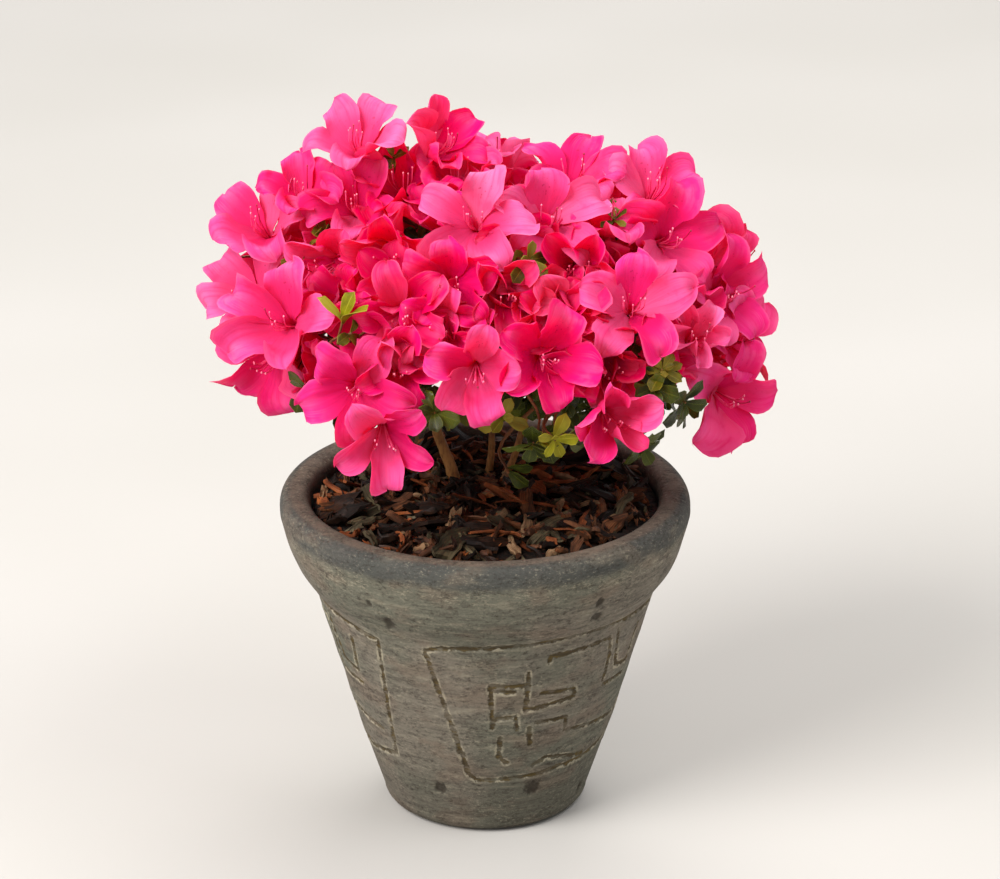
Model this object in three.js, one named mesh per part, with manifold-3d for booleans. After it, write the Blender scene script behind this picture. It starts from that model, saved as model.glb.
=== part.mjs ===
// A flowering azalea in a weathered clay pot. Millimetres, +Z up.
// The origin is the centre of the pot's flat underside, and the photograph's viewer stands at -Y.

import * as THREE from "three";
import { mergeVertices } from "three/addons/utils/BufferGeometryUtils.js";
import Module from "manifold-3d";

const wasm = await Module();
wasm.setup();

// Pot
const POT_HEIGHT = 146;
const RIM_RADIUS = 90;
const LIP_WIDTH = 14;
const LIP_RISE = 8.5;
const LIP_SQUARENESS = 0.62;
const NECK_RADIUS = 75;
const NECK_HEIGHT = 103.5;
const BASE_RADIUS = 45.5;
const FOOT_ROUNDING = 6;
const WALL_BULGE = 0.8;

// The collar's outline between the neck and the lip, as pairs of radius and height
const COLLAR = [
  [77.4, 107],
  [80.5, 111.5],
  [83.6, 116.5],
  [86.4, 123.5],
  [88.6, 131.5],
];
const FLOOR_THICKNESS = 10;
const INNER_FLOOR_RADIUS = 40;
const POT_SIDES = 32;
const COMPOST_SIDES = 26;
const DRAIN_RADIUS = 4.5;
const DRAIN_RING = 22;
const DRAIN_COUNT = 3;
const DRAIN_SIDES = 10;

// Compost and its bark chips
const COMPOST_EDGE = 138.5;
const COMPOST_MOUND = 2.5;
const COMPOST_ROUGHNESS = 1.2;
const COMPOST_RINGS = [0.84, 0.6, 0.3];
const CHIP_COUNT = 20;
const CHIP_SIZE = { length: [9, 20], width: [4, 7], thickness: 2.2 };
const CHIP_TILT = { roll: 0.5, pitch: 0.3 };
const CHIP_RISE = 0.8;
const FOOT_CLEARING = 11;

// Clearance that is left between any two pieces that rest on each other
const SEAT_GAP = 0.3;

// The crown is a dome of blossom: its shell passes through the mouths of the blooms
const CROWN_CENTRE = new THREE.Vector3(1, 2, 215);
const CROWN_RADII = new THREE.Vector3(106, 94, 71);
const CROWN_FOOT_LIFT = { sides: -4, tilt: 20 };
const FILL_CANDIDATES = 420;
const FILL_SPACING = 27;
const FILL_DEPTH = [0.95, 1.01];
const FILL_WIDTH = [41, 47];
const BLOOM_TILT = 14;
const BLOOM_LIFT = 6;
const FACE_LIFTS = [-30, 84];
const GOLDEN_ANGLE = 137.508;

// How the photograph looks at the plant, for the blooms that are placed by what it shows
const VIEW_LIFT = 22;
const VIEW_RANGE = 1800;
const FURTHEST_BACK = 12;

// A bloom: five lobes that flare from a short tube. The mouth and the lobes are shares of its width,
// and the places along a lobe are shares of the lobe's length.
const BLOOM = {
  width: 44,
  mouth: 0.2,
  lobe: 0.35,
  tube: 14,
  throat: 8,
  petals: 5,
  flare: [58, 76],
  lobeAngle: 31,
  sinus: 0.14,
  broadest: 0.66,
  middle: 0.5,
  crease: 0.9,
  edgeLift: 0.4,
  tipDrop: 0.6,
};

// The seat of a bloom is the place that its mass is shared out by, a little behind its mouth
const SEAT = { behind: 6, depth: [0.86, 1.25], reach: 1.2 };

// The share of a bloom's width that leaves keep clear of in front of it
const OPEN_FACE = 0.36;

// A leaf: a folded lozenge
const LEAF = { length: 20, width: 8.5, thickness: 0.7, fold: 1.0, broadest: 0.56, thickest: 0.4 };
const LEAF_SIZES = [0.75, 1.1];

// Limbs of a mass: a stem, a twig to each truss of blooms or leafy shoot, and a stalk to each bloom
const TWIG_RADIUS = 1.3;
const TWIG_SIDES = 5;
const STALK_RADIUS = 0.8;
const STALK_SIDES = 3;
const STALK_REACH = 3;
const BUD = { width: 1.9, length: 2.8 };
const HUB_BUD = { width: 2.6, length: 3 };
const LEAN_SHARES = [0, 0.25, 0.5];
const ROOT_DEPTH = 0.47;
const HUB_DEPTH = 0.6;
const TRUSS_DEPTH = 0.76;
const BLOOMS_PER_TRUSS = 4;
const LEAVES_PER_SHOOT = 5;
const LEAF_SPREAD = [28, 62];
const LEAF_SCATTER = 0.12;
const SHOOT_BEND = 0.35;
const SKIRT = {
  count: 8,
  scatter: 0.2,
  lift: [-46, -32],
  depth: [0.76, 0.9],
  rise: [0, 30],
};
const GAP_SHOOT = { candidates: 300, depth: 0.96, fromBlooms: 15.5, fromShoots: 44 };
const SPACE_MARGIN = 0.4;
const LIMB_CHECKS = [0, 0.2, 0.4, 0.6, 0.8, 1];
const FINEST_DETAIL = 0.02;

// The dense heart of each mass, which its twigs, blooms and shoots stand out of
const CORE = { inner: 0.48, outer: 0.78, clearance: 1.5, step: 1, rounds: 8, shrink: 0.1 };

// The run of chances that each kind of detail draws from
const SEED = 11;
const SEED_OF = { fill: 100, flare: 1000, skirt: 3000, leaves: 5000 };

const COLOURS = { clay: 0x6f685b, compost: 0x241913, bark: 0x6b3f20, blossom: 0xf0397c };

// Blooms that show in the photograph: millimetres across and up from the rim's middle as the viewer
// sees them, how deep they sit in the crown, the bearing and lift they face, how far they are spun,
// and their width.
const SHOWN_BLOOMS = [
  { across: -56, up: 151, sink: 0, bearing: -25, lift: 66, spin: 20, width: 44 },
  { across: -21, up: 150, sink: 0, bearing: 50, lift: 48, spin: 10, width: 44 },
  { across: -57, up: 124, sink: 0, bearing: -10, lift: 45, spin: 30, width: 42 },
  { across: -97, up: 115, sink: 0, bearing: -28, lift: 52, spin: 0, width: 46 },
  { across: -79, up: 129, sink: 0, bearing: -20, lift: 60, spin: 36, width: 40 },
  { across: -102, up: 85, sink: 0, bearing: -38, lift: 34, spin: 15, width: 44 },
  { across: -92, up: 58, sink: 9, bearing: -25, lift: -12, spin: 20, width: 46 },
  { across: -87, up: 74, sink: -4, bearing: -20, lift: 30, spin: 4, width: 50 },
  { across: -67, up: 99, sink: 7, bearing: -25, lift: 6, spin: 20, width: 42 },
  { across: -36, up: 133, sink: 3, bearing: -10, lift: 48, spin: 55, width: 44 },
  { across: -12, up: 136, sink: 0, bearing: 10, lift: 62, spin: 12, width: 40 },
  { across: -41, up: 104, sink: 4, bearing: -12, lift: -4, spin: 0, width: 44 },
  { across: -4, up: 117, sink: -3, bearing: -5, lift: 34, spin: 8, width: 47 },
  { across: 28, up: 119, sink: -1, bearing: 14, lift: 38, spin: 0, width: 44 },
  { across: 38, up: 137, sink: 0, bearing: 22, lift: 64, spin: 30, width: 44 },
  { across: 73, up: 131, sink: 0, bearing: 20, lift: 60, spin: 0, width: 42 },
  { across: 80, up: 110, sink: -2, bearing: 32, lift: 30, spin: 20, width: 47 },
  { across: 104, up: 99, sink: 4, bearing: 55, lift: 25, spin: 0, width: 38 },
  { across: 104, up: 86, sink: -1, bearing: 42, lift: 20, spin: 10, width: 46 },
  { across: 92, up: 67, sink: -4, bearing: 16, lift: 30, spin: 40, width: 32 },
  { across: 65, up: 80, sink: -2, bearing: 8, lift: 34, spin: 6, width: 48 },
  { across: 41, up: 97, sink: 9, bearing: 0, lift: 10, spin: 30, width: 42 },
  { across: 33, up: 78, sink: 11, bearing: 6, lift: 4, spin: 50, width: 40 },
  { across: -15, up: 90, sink: 6, bearing: -5, lift: 16, spin: 0, width: 42 },
  { across: 9, up: 88, sink: 9, bearing: 5, lift: 6, spin: 30, width: 40 },
  { across: -36, up: 78, sink: 5, bearing: -5, lift: 14, spin: 45, width: 42 },
  { across: -19, up: 72, sink: 13, bearing: 0, lift: 6, spin: 10, width: 38 },
  { across: -38, up: 57, sink: 10, bearing: 5, lift: 0, spin: 25, width: 40 },
  { across: -4, up: 53, sink: -3, bearing: -2, lift: 6, spin: 12, width: 45 },
  { across: 26, up: 59, sink: 0, bearing: 10, lift: 10, spin: 30, width: 48 },
  { across: 53, up: 55, sink: 15, bearing: 10, lift: -5, spin: 0, width: 38 },
  { across: 55, up: 32, sink: -2, bearing: 14, lift: 2, spin: 0, width: 45 },
  { across: 105, up: 41, sink: 0, bearing: 34, lift: 0, spin: 20, width: 46 },
  { across: -56, up: 45, sink: 0, bearing: -6, lift: 10, spin: 30, width: 44 },
  { across: -44, up: 24, sink: -3, bearing: 4, lift: -10, spin: 36, width: 42 },
  { across: 109, up: 67, sink: 6, bearing: 52, lift: 12, spin: 0, width: 40 },
];

// Leafy shoots that show between the blooms, placed the same way
const SHOWN_SHOOTS = [
  { across: -61, up: 80, sink: 4, bearing: 20, lift: 60 },
  { across: 57, up: 119, sink: 3, bearing: 20, lift: 50 },
  { across: 19, up: 101, sink: 6, bearing: 30, lift: 10 },
  { across: 77, up: 50, sink: 8, bearing: 20, lift: 30 },
  { across: 88, up: 36, sink: 12, bearing: 60, lift: -20 },
  { across: 26, up: 22, sink: 10, bearing: -5, lift: -25 },
  { across: -20, up: 33, sink: 14, bearing: -10, lift: 0 },
  { across: -80, up: 44, sink: 14, bearing: -40, lift: -20 },
  { across: 69, up: 18, sink: 16, bearing: 40, lift: -35 },
];

// Stems that rise from the compost: the foot, the top, and the radius at each
const STEMS = [
  { name: "main_stem", foot: [-12, 16], top: [-27, 7, 196], radii: [2.5, 1.7], bow: -1 },
  { name: "second_stem", foot: [1, 29], top: [3, 24, 194], radii: [1.5, 1.2], bow: 1 },
  { name: "third_stem", foot: [7, 23], top: [22, 11, 194], radii: [1.5, 1.2], bow: 1.5 },
];
const ROOT_FLARE = 1.45;
const STEM_SIDES = 8;
const STEM_START = 4;

// Masses of the crown: the bearing and lift of the middle of each, the stem that carries its bough,
// and how far up that stem the bough leaves.
const MASSES = [
  { name: "crown_top", bearing: -60, lift: 80, stem: "main_stem", leaves: 1 },
  { name: "crown_upper_front_left", bearing: -48, lift: 45, stem: "main_stem", leaves: 0.86 },
  { name: "crown_upper_front_right", bearing: 35, lift: 45, stem: "third_stem", leaves: 1 },
  { name: "crown_upper_back_left", bearing: -145, lift: 40, stem: "second_stem", leaves: 1 },
  { name: "crown_upper_back_right", bearing: 125, lift: 40, stem: "second_stem", leaves: 0.88 },
  { name: "crown_front", bearing: 8, lift: 22, stem: "third_stem", leaves: 0.68 },
  { name: "crown_front_left", bearing: -50, lift: 10, stem: "main_stem", leaves: 0.72 },
  { name: "crown_left", bearing: -100, lift: 5, stem: "main_stem", leaves: 0.6 },
  { name: "crown_back_left", bearing: -155, lift: -4, stem: "second_stem", leaves: 0.75 },
  { name: "crown_back_right", bearing: 150, lift: -4, stem: "second_stem", leaves: 0.62 },
  { name: "crown_right", bearing: 98, lift: 2, stem: "third_stem", leaves: 0.78 },
  { name: "crown_front_right", bearing: 52, lift: 10, stem: "third_stem", leaves: 0.88 },
];
const SHARING_ROUNDS = 5;
const BOUGH_RADII = { main_stem: [1.6, 1.3], second_stem: [1.3, 1.2], third_stem: [1.3, 1.2] };
const BOUGH_ARCH = { at: 0.45, rise: 0.08 };
const BOUGH_SIDES = 5;

// A repeatable run of numbers from 0 to 1
class Dice {
  constructor(seed) {
    this.state = (seed * 2654435761) >>> 0;
    this.next();
    this.next();
  }

  next() {
    this.state = (Math.imul(this.state, 1664525) + 1013904223) >>> 0;
    return this.state / 4294967296;
  }

  between(low, high) {
    return low + (high - low) * this.next();
  }
}

const radians = THREE.MathUtils.degToRad;
const clamp = THREE.MathUtils.clamp;
const lerp = THREE.MathUtils.lerp;

// The direction at a bearing, 0 towards the viewer and 90 to the right, and a lift above the horizon
function heading(bearing, lift) {
  const b = radians(bearing);
  const l = radians(lift);
  return new THREE.Vector3(Math.sin(b) * Math.cos(l), -Math.cos(b) * Math.cos(l), Math.sin(l));
}

// The direction from the crown's centre to a point, with the crown taken as a ball
function wayTo(point) {
  return point.clone().sub(CROWN_CENTRE).divide(CROWN_RADII).normalize();
}

// How far from the crown's centre a point is, as a share of the way out to the shell
function shareOf(point) {
  return point.clone().sub(CROWN_CENTRE).divide(CROWN_RADII).length();
}

// The point of the crown in a direction from its centre, at a share of the way out to the shell
function inCrown(direction, share) {
  return direction.clone().multiply(CROWN_RADII).multiplyScalar(share).add(CROWN_CENTRE);
}

// How low the crown reaches at a bearing, as a lift: its foot lies lower at the back
function footLift(bearing) {
  return CROWN_FOOT_LIFT.sides + CROWN_FOOT_LIFT.tilt * Math.cos(radians(bearing));
}

// The point of the crown's near side that the viewer sees at a place in the picture
function fromPicture(across, up, sink) {
  const e = radians(VIEW_LIFT);
  const ahead = new THREE.Vector3(0, Math.cos(e), -Math.sin(e));
  const upward = new THREE.Vector3(0, Math.sin(e), Math.cos(e));
  const eye = new THREE.Vector3(0, 0, POT_HEIGHT).addScaledVector(ahead, -VIEW_RANGE);
  const ray = ahead.clone().addScaledVector(upward, up / VIEW_RANGE);
  ray.x = across / VIEW_RANGE;
  const shell = CROWN_RADII.clone().subScalar(sink);
  const from = eye.clone().sub(CROWN_CENTRE).divide(shell);
  const along = ray.clone().divide(shell);
  const a = along.dot(along);
  const b = from.dot(along);
  const inside = Math.max(0, b * b - a * (from.dot(from) - 1));
  const reach = Math.min((-b - Math.sqrt(inside)) / a, (FURTHEST_BACK - eye.y) / ray.y);
  return eye.addScaledVector(ray, reach);
}

// A closed geometry as a manifold solid that faces out
function solidOf(geometry) {
  const bare = geometry.index ? geometry.toNonIndexed() : geometry.clone();
  const plain = new THREE.BufferGeometry().setAttribute("position", bare.getAttribute("position"));
  const merged = mergeVertices(plain, 1e-4);
  const corners = merged.index.array;
  const kept = [];
  for (let i = 0; i < corners.length; i += 3) {
    const [a, b, c] = [corners[i], corners[i + 1], corners[i + 2]];
    if (a !== b && b !== c && a !== c) kept.push(a, b, c);
  }
  const vertProperties = merged.getAttribute("position").array;
  const made = new wasm.Manifold(
    new wasm.Mesh({ numProp: 3, vertProperties, triVerts: new Uint32Array(kept) }),
  );
  if (made.volume() > 0) return made;
  for (let i = 0; i < kept.length; i += 3) [kept[i], kept[i + 1]] = [kept[i + 1], kept[i]];
  return new wasm.Manifold(new wasm.Mesh({ numProp: 3, vertProperties, triVerts: new Uint32Array(kept) }));
}

// A solid from a list of points and a list of triangles between them
function solidFrom(points, triangles) {
  const positions = new Float32Array(points.flatMap((p) => [p.x, p.y, p.z]));
  const geometry = new THREE.BufferGeometry().setAttribute(
    "position",
    new THREE.BufferAttribute(positions, 3),
  );
  geometry.setIndex(triangles.flat());
  return solidOf(geometry);
}

// The named mesh of a solid
function meshOf(name, solid, colour, roughness) {
  const { numProp, vertProperties, triVerts } = solid.getMesh();
  const positions = new Float32Array((vertProperties.length / numProp) * 3);
  for (let i = 0; i < positions.length / 3; i++)
    positions.set(vertProperties.subarray(i * numProp, i * numProp + 3), i * 3);
  const geometry = new THREE.BufferGeometry();
  geometry.setAttribute("position", new THREE.BufferAttribute(positions, 3));
  geometry.setIndex(new THREE.BufferAttribute(triVerts, 1));
  geometry.computeVertexNormals();
  const mesh = new THREE.Mesh(
    geometry,
    new THREE.MeshStandardMaterial({ color: colour, roughness, metalness: 0, flatShading: true }),
  );
  mesh.name = name;
  return mesh;
}

// The solid's largest body: loose scraps are dropped
function largestBody(solid) {
  const bodies = solid.decompose();
  return bodies.reduce((best, body) => (body.volume() > best.volume() ? body : best), bodies[0]);
}

// A round solid from a profile of [radius, height] pairs
function revolve(profile, sides) {
  const points = profile.map(([r, z]) => new THREE.Vector2(r, z));
  return new THREE.LatheGeometry(points, sides).rotateX(Math.PI / 2);
}

// Points along a smooth curve through a path
function smooth(path, steps) {
  return new THREE.CatmullRomCurve3(path).getSpacedPoints(steps);
}

// A limb that tapers evenly along a line of points, closed at both ends
function limb(line, startRadius, endRadius, sides, flare = 1) {
  const points = [];
  const last = line.length - 1;
  let normal = null;
  for (let i = 0; i <= last; i++) {
    const along = line[Math.min(i + 1, last)].clone().sub(line[Math.max(i - 1, 0)]).normalize();
    normal ??= new THREE.Vector3(0, 0, 1).cross(along).lengthSq() > 0.01
      ? new THREE.Vector3(0, 0, 1).cross(along)
      : new THREE.Vector3(1, 0, 0);
    normal = normal.clone().addScaledVector(along, -normal.dot(along)).normalize();
    const binormal = along.clone().cross(normal);
    const t = i / last;
    const swell = 1 + (flare - 1) * Math.max(0, 1 - t * 3) ** 2;
    const radius = lerp(startRadius, endRadius, t) * swell;
    for (let k = 0; k < sides; k++) {
      const angle = (2 * Math.PI * k) / sides;
      points.push(
        line[i]
          .clone()
          .addScaledVector(normal, radius * Math.cos(angle))
          .addScaledVector(binormal, radius * Math.sin(angle)),
      );
    }
  }
  const triangles = [];
  const top = last * sides;
  for (let k = 0; k < sides; k++) {
    const next = (k + 1) % sides;
    for (let row = 0; row < top; row += sides) {
      triangles.push([row + k, row + next, row + sides + next]);
      triangles.push([row + k, row + sides + next, row + sides + k]);
    }
    if (k > 0 && k < sides - 1) {
      triangles.push([0, k + 1, k]);
      triangles.push([top, top + k, top + k + 1]);
    }
  }
  return solidFrom(points, triangles);
}

// A bud: a double pyramid that the leaves of a whorl, or the twigs of a fork, start inside
function budSolid(at, axis, { width, length }) {
  const { up, right } = sightLines(axis);
  const points = [
    at.clone().addScaledVector(axis, length),
    at.clone().addScaledVector(axis, -length),
    ...[up, right, up.clone().negate(), right.clone().negate()].map((side) =>
      at.clone().addScaledVector(side, width),
    ),
  ];
  const triangles = [];
  for (let k = 0; k < 4; k++) {
    const [near, far] = [2 + k, 2 + ((k + 1) % 4)];
    triangles.push([0, near, far], [1, far, near]);
  }
  return solidFrom(points, triangles);
}

// The inner wall's radius at a height
function innerRadius(z) {
  const share = (z - FLOOR_THICKNESS) / (POT_HEIGHT - LIP_RISE - FLOOR_THICKNESS);
  return lerp(INNER_FLOOR_RADIUS, RIM_RADIUS - LIP_WIDTH, clamp(share, 0, 1));
}

// The pot: a broad lip with rounded shoulders, on a collar that tapers into a thick cone of wall
function pot() {
  const lipMiddle = RIM_RADIUS - LIP_WIDTH / 2;
  const lipBase = POT_HEIGHT - LIP_RISE;
  const profile = [[0, 0]];
  for (const turn of [0, 40, 80]) {
    const a = radians(turn);
    profile.push([
      BASE_RADIUS - FOOT_ROUNDING * (1 - Math.sin(a)),
      FOOT_ROUNDING * (1 - Math.cos(a)),
    ]);
  }
  profile.push([(BASE_RADIUS + NECK_RADIUS) / 2 + WALL_BULGE, (FOOT_ROUNDING + NECK_HEIGHT) / 2]);
  profile.push([NECK_RADIUS, NECK_HEIGHT], ...COLLAR);
  for (let turn = 0; turn <= 180; turn += 22.5) {
    const [across, up] = [Math.cos(radians(turn)), Math.max(Math.sin(radians(turn)), 0)];
    const out = Math.sign(across) * Math.abs(across) ** LIP_SQUARENESS;
    profile.push([lipMiddle + (LIP_WIDTH / 2) * out, lipBase + LIP_RISE * up ** LIP_SQUARENESS]);
  }
  profile.push([INNER_FLOOR_RADIUS, FLOOR_THICKNESS]);
  profile.push([0, FLOOR_THICKNESS]);
  let body = solidOf(revolve(profile, POT_SIDES));
  for (let i = 0; i < DRAIN_COUNT; i++) {
    const angle = (2 * Math.PI * (i + 0.5)) / DRAIN_COUNT;
    const depth = 3 * FLOOR_THICKNESS;
    const drill = new THREE.CylinderGeometry(DRAIN_RADIUS, DRAIN_RADIUS, depth, DRAIN_SIDES);
    drill.rotateX(Math.PI / 2);
    drill.translate(DRAIN_RING * Math.cos(angle), DRAIN_RING * Math.sin(angle), 0);
    body = body.subtract(solidOf(drill));
  }
  return body;
}

// How far a place on the compost's top is from the nearest stem's foot
function footDistance(x, y) {
  return Math.min(...STEMS.map(({ foot }) => Math.hypot(x - foot[0], y - foot[1])));
}

// The height of the compost's smooth top at a radius from the pot's axis
function compostTop(radius) {
  const share = radius / innerRadius(COMPOST_EDGE);
  return COMPOST_EDGE + COMPOST_MOUND * (1 - share * share);
}

// The compost, with the larger chips of bark mulch on its uneven top
function compost() {
  const rimRadius = innerRadius(COMPOST_EDGE) - 2 * SEAT_GAP;
  const profile = [
    [0, FLOOR_THICKNESS + SEAT_GAP],
    [INNER_FLOOR_RADIUS - 2 * SEAT_GAP, FLOOR_THICKNESS + SEAT_GAP],
    [rimRadius, COMPOST_EDGE],
    ...COMPOST_RINGS.map((share) => [rimRadius * share, compostTop(rimRadius * share)]),
    [0, compostTop(0)],
  ];
  const geometry = revolve(profile, COMPOST_SIDES);
  const place = geometry.getAttribute("position");
  for (let i = 0; i < place.count; i++) {
    const [x, y, z] = [place.getX(i), place.getY(i), place.getZ(i)];
    const radius = Math.hypot(x, y);
    if (z < COMPOST_EDGE || radius > rimRadius - 1 || footDistance(x, y) < FOOT_CLEARING) continue;
    const bumps = Math.sin(x / 3.2 + y / 8.3) + Math.sin(y / 2.7 - x / 11);
    place.setZ(i, z + (COMPOST_ROUGHNESS * bumps) / 2);
  }
  const dice = new Dice(SEED);
  const parts = [solidOf(geometry)];
  for (let i = 0; i < CHIP_COUNT; i++) {
    const radius = (rimRadius - CHIP_SIZE.length[1] / 2) * Math.sqrt(dice.next());
    const angle = dice.between(0, 2 * Math.PI);
    const [x, y] = [radius * Math.cos(angle), radius * Math.sin(angle)];
    const chip = new THREE.BoxGeometry(
      dice.between(...CHIP_SIZE.length),
      dice.between(...CHIP_SIZE.width),
      CHIP_SIZE.thickness,
    );
    chip.rotateX(dice.between(-CHIP_TILT.roll, CHIP_TILT.roll));
    chip.rotateY(dice.between(-CHIP_TILT.pitch, CHIP_TILT.pitch));
    chip.rotateZ(dice.between(0, Math.PI));
    chip.translate(x, y, compostTop(radius) + CHIP_RISE);
    if (footDistance(x, y) > FOOT_CLEARING + CHIP_SIZE.length[1] / 2) parts.push(solidOf(chip));
  }
  return wasm.Manifold.union(parts);
}

// A line of points made longer at its far end
function lengthened(line, distance) {
  const [before, end] = line.slice(-2);
  const further = end.clone().add(end.clone().sub(before).setLength(distance));
  return distance > 0 ? [...line.slice(0, -1), further] : line;
}

// The curve of a stem, from just under the compost's top to where it forks
function stemPath({ foot, top, bow }) {
  const low = new THREE.Vector3(foot[0], foot[1], compostTop(0) - STEM_START);
  const high = new THREE.Vector3(...top);
  const middle = low.clone().lerp(high, 0.5);
  middle.x += bow;
  return [low, middle, high];
}

// A stem, or the space that it and its clearance take up
function stemSolid(stem, clearance = 0) {
  const line = lengthened(smooth(stemPath(stem), 5), clearance);
  const [low, high] = stem.radii;
  return limb(line, low + clearance, high + clearance, STEM_SIDES, ROOT_FLARE);
}

// The i-th of a number of directions spread evenly over the crown, from its top down
function evenly(i, count) {
  const lowest = Math.sin(radians(CROWN_FOOT_LIFT.sides - CROWN_FOOT_LIFT.tilt));
  const lift = THREE.MathUtils.radToDeg(Math.asin(lerp(1, lowest, (i + 0.5) / count)));
  return { bearing: (i * GOLDEN_ANGLE) % 360, lift };
}

// The blooms: those that the photograph shows, then others that fill the rest of the dome evenly
function planBlooms() {
  const blooms = SHOWN_BLOOMS.map((shown) => ({
    at: fromPicture(shown.across, shown.up, shown.sink),
    face: heading(shown.bearing, shown.lift),
    spin: shown.spin,
    width: shown.width,
  }));
  for (let i = 0; i < FILL_CANDIDATES; i++) {
    const { bearing, lift } = evenly(i, FILL_CANDIDATES);
    if (lift < footLift(bearing)) continue;
    const dice = new Dice(SEED + SEED_OF.fill + i);
    const at = inCrown(heading(bearing, lift), dice.between(...FILL_DEPTH));
    const face = heading(
      bearing + dice.between(-BLOOM_TILT, BLOOM_TILT),
      clamp(lift + BLOOM_LIFT + dice.between(-BLOOM_TILT, BLOOM_TILT), ...FACE_LIFTS),
    );
    const spin = dice.between(0, 360 / BLOOM.petals);
    const bloom = { at, face, spin, width: dice.between(...FILL_WIDTH) };
    if (blooms.every((other) => other.at.distanceTo(at) > FILL_SPACING)) blooms.push(bloom);
  }
  blooms.forEach((bloom, i) => {
    const behind = bloom.at.clone().addScaledVector(bloom.face, -SEAT.behind);
    bloom.way = wayTo(behind);
    bloom.seat = inCrown(bloom.way, clamp(shareOf(behind), ...SEAT.depth));
    bloom.base = bloom.at.clone().addScaledVector(bloom.face, -BLOOM.tube);
    bloom.flare = new Dice(SEED + SEED_OF.flare + i).between(...BLOOM.flare);
  });
  return shareOut(blooms);
}

// Shares the blooms out to the masses: each joins the nearest mass, whose middle then moves to its blooms
function shareOut(blooms) {
  const middles = MASSES.map(({ bearing, lift }) => heading(bearing, lift));
  for (let round = 0; round < SHARING_ROUNDS; round++) {
    for (const bloom of blooms) {
      const nearness = middles.map((middle) => bloom.way.dot(middle));
      bloom.mass = nearness.indexOf(Math.max(...nearness));
    }
    middles.forEach((middle, index) => {
      const own = blooms.filter((bloom) => bloom.mass === index);
      for (const bloom of own) middle.add(bloom.way);
      middle.normalize();
    });
  }
  return blooms;
}

// The directions up and to the right of something that faces a way, as seen from in front of it
function sightLines(face) {
  const up = new THREE.Vector3(0, 0, 1).addScaledVector(face, -face.z).normalize();
  return { up, right: up.clone().cross(face) };
}

// One bloom as a closed solid: an inner and an outer skin that meet along the edge of the lobes
function bloomSolid({ at, face, spin, width, flare }) {
  const { up, right } = sightLines(face);
  const mouth = BLOOM.mouth * width;
  const lobe = BLOOM.lobe * width;
  const point = (share, turn, back) => {
    const a = radians(turn);
    const out = mouth + share * lobe * Math.sin(radians(flare));
    const forward = share * lobe * Math.cos(radians(flare)) - back;
    return at
      .clone()
      .addScaledVector(up, out * Math.cos(a))
      .addScaledVector(right, out * Math.sin(a))
      .addScaledVector(face, forward);
  };
  const throat = at.clone().addScaledVector(face, -BLOOM.throat);
  const base = at.clone().addScaledVector(face, -BLOOM.tube);
  const points = [throat, base];
  const triangles = [];
  const sector = 360 / BLOOM.petals;
  const each = 5;
  for (let k = 0; k < BLOOM.petals; k++) {
    const turn = spin + sector * k;
    points.push(point(BLOOM.sinus, turn - sector / 2, 0));
    points.push(point(BLOOM.broadest, turn - BLOOM.lobeAngle, -BLOOM.edgeLift));
    points.push(point(1, turn, BLOOM.tipDrop));
    points.push(point(BLOOM.broadest, turn + BLOOM.lobeAngle, -BLOOM.edgeLift));
    points.push(point(BLOOM.middle, turn, BLOOM.crease));
    const first = 2 + each * k;
    const next = 2 + each * ((k + 1) % BLOOM.petals);
    const [sinus, left, tip, far, crease] = [0, 1, 2, 3, 4].map((n) => first + n);
    const edge = [sinus, left, tip, far, next];
    for (let n = 0; n < edge.length - 1; n++) {
      triangles.push([edge[n], edge[n + 1], crease]);
      triangles.push([edge[n + 1], edge[n], 1]);
    }
    triangles.push([0, sinus, crease], [0, crease, next]);
  }
  return solidFrom(points, triangles);
}

// One leaf as a closed solid of eight faces
function leafSolid(root, direction, facing, size) {
  const sideways = facing.clone().cross(direction).normalize();
  const normal = direction.clone().cross(sideways);
  const length = LEAF.length * size;
  const middle = root.clone().addScaledVector(direction, length * LEAF.broadest);
  const side = (sign) => middle.clone().addScaledVector(sideways, (sign * LEAF.width * size) / 2);
  const spine = root
    .clone()
    .addScaledVector(direction, length * LEAF.thickest)
    .addScaledVector(normal, -LEAF.fold);
  const points = [
    root,
    side(-1),
    root.clone().addScaledVector(direction, length),
    side(1),
    spine.clone().addScaledVector(normal, LEAF.thickness / 2),
    spine.clone().addScaledVector(normal, -LEAF.thickness / 2),
  ];
  const triangles = [];
  for (let n = 0; n < 4; n++) {
    triangles.push([n, (n + 1) % 4, 4]);
    triangles.push([(n + 1) % 4, n, 5]);
  }
  return solidFrom(points, triangles);
}

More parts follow.
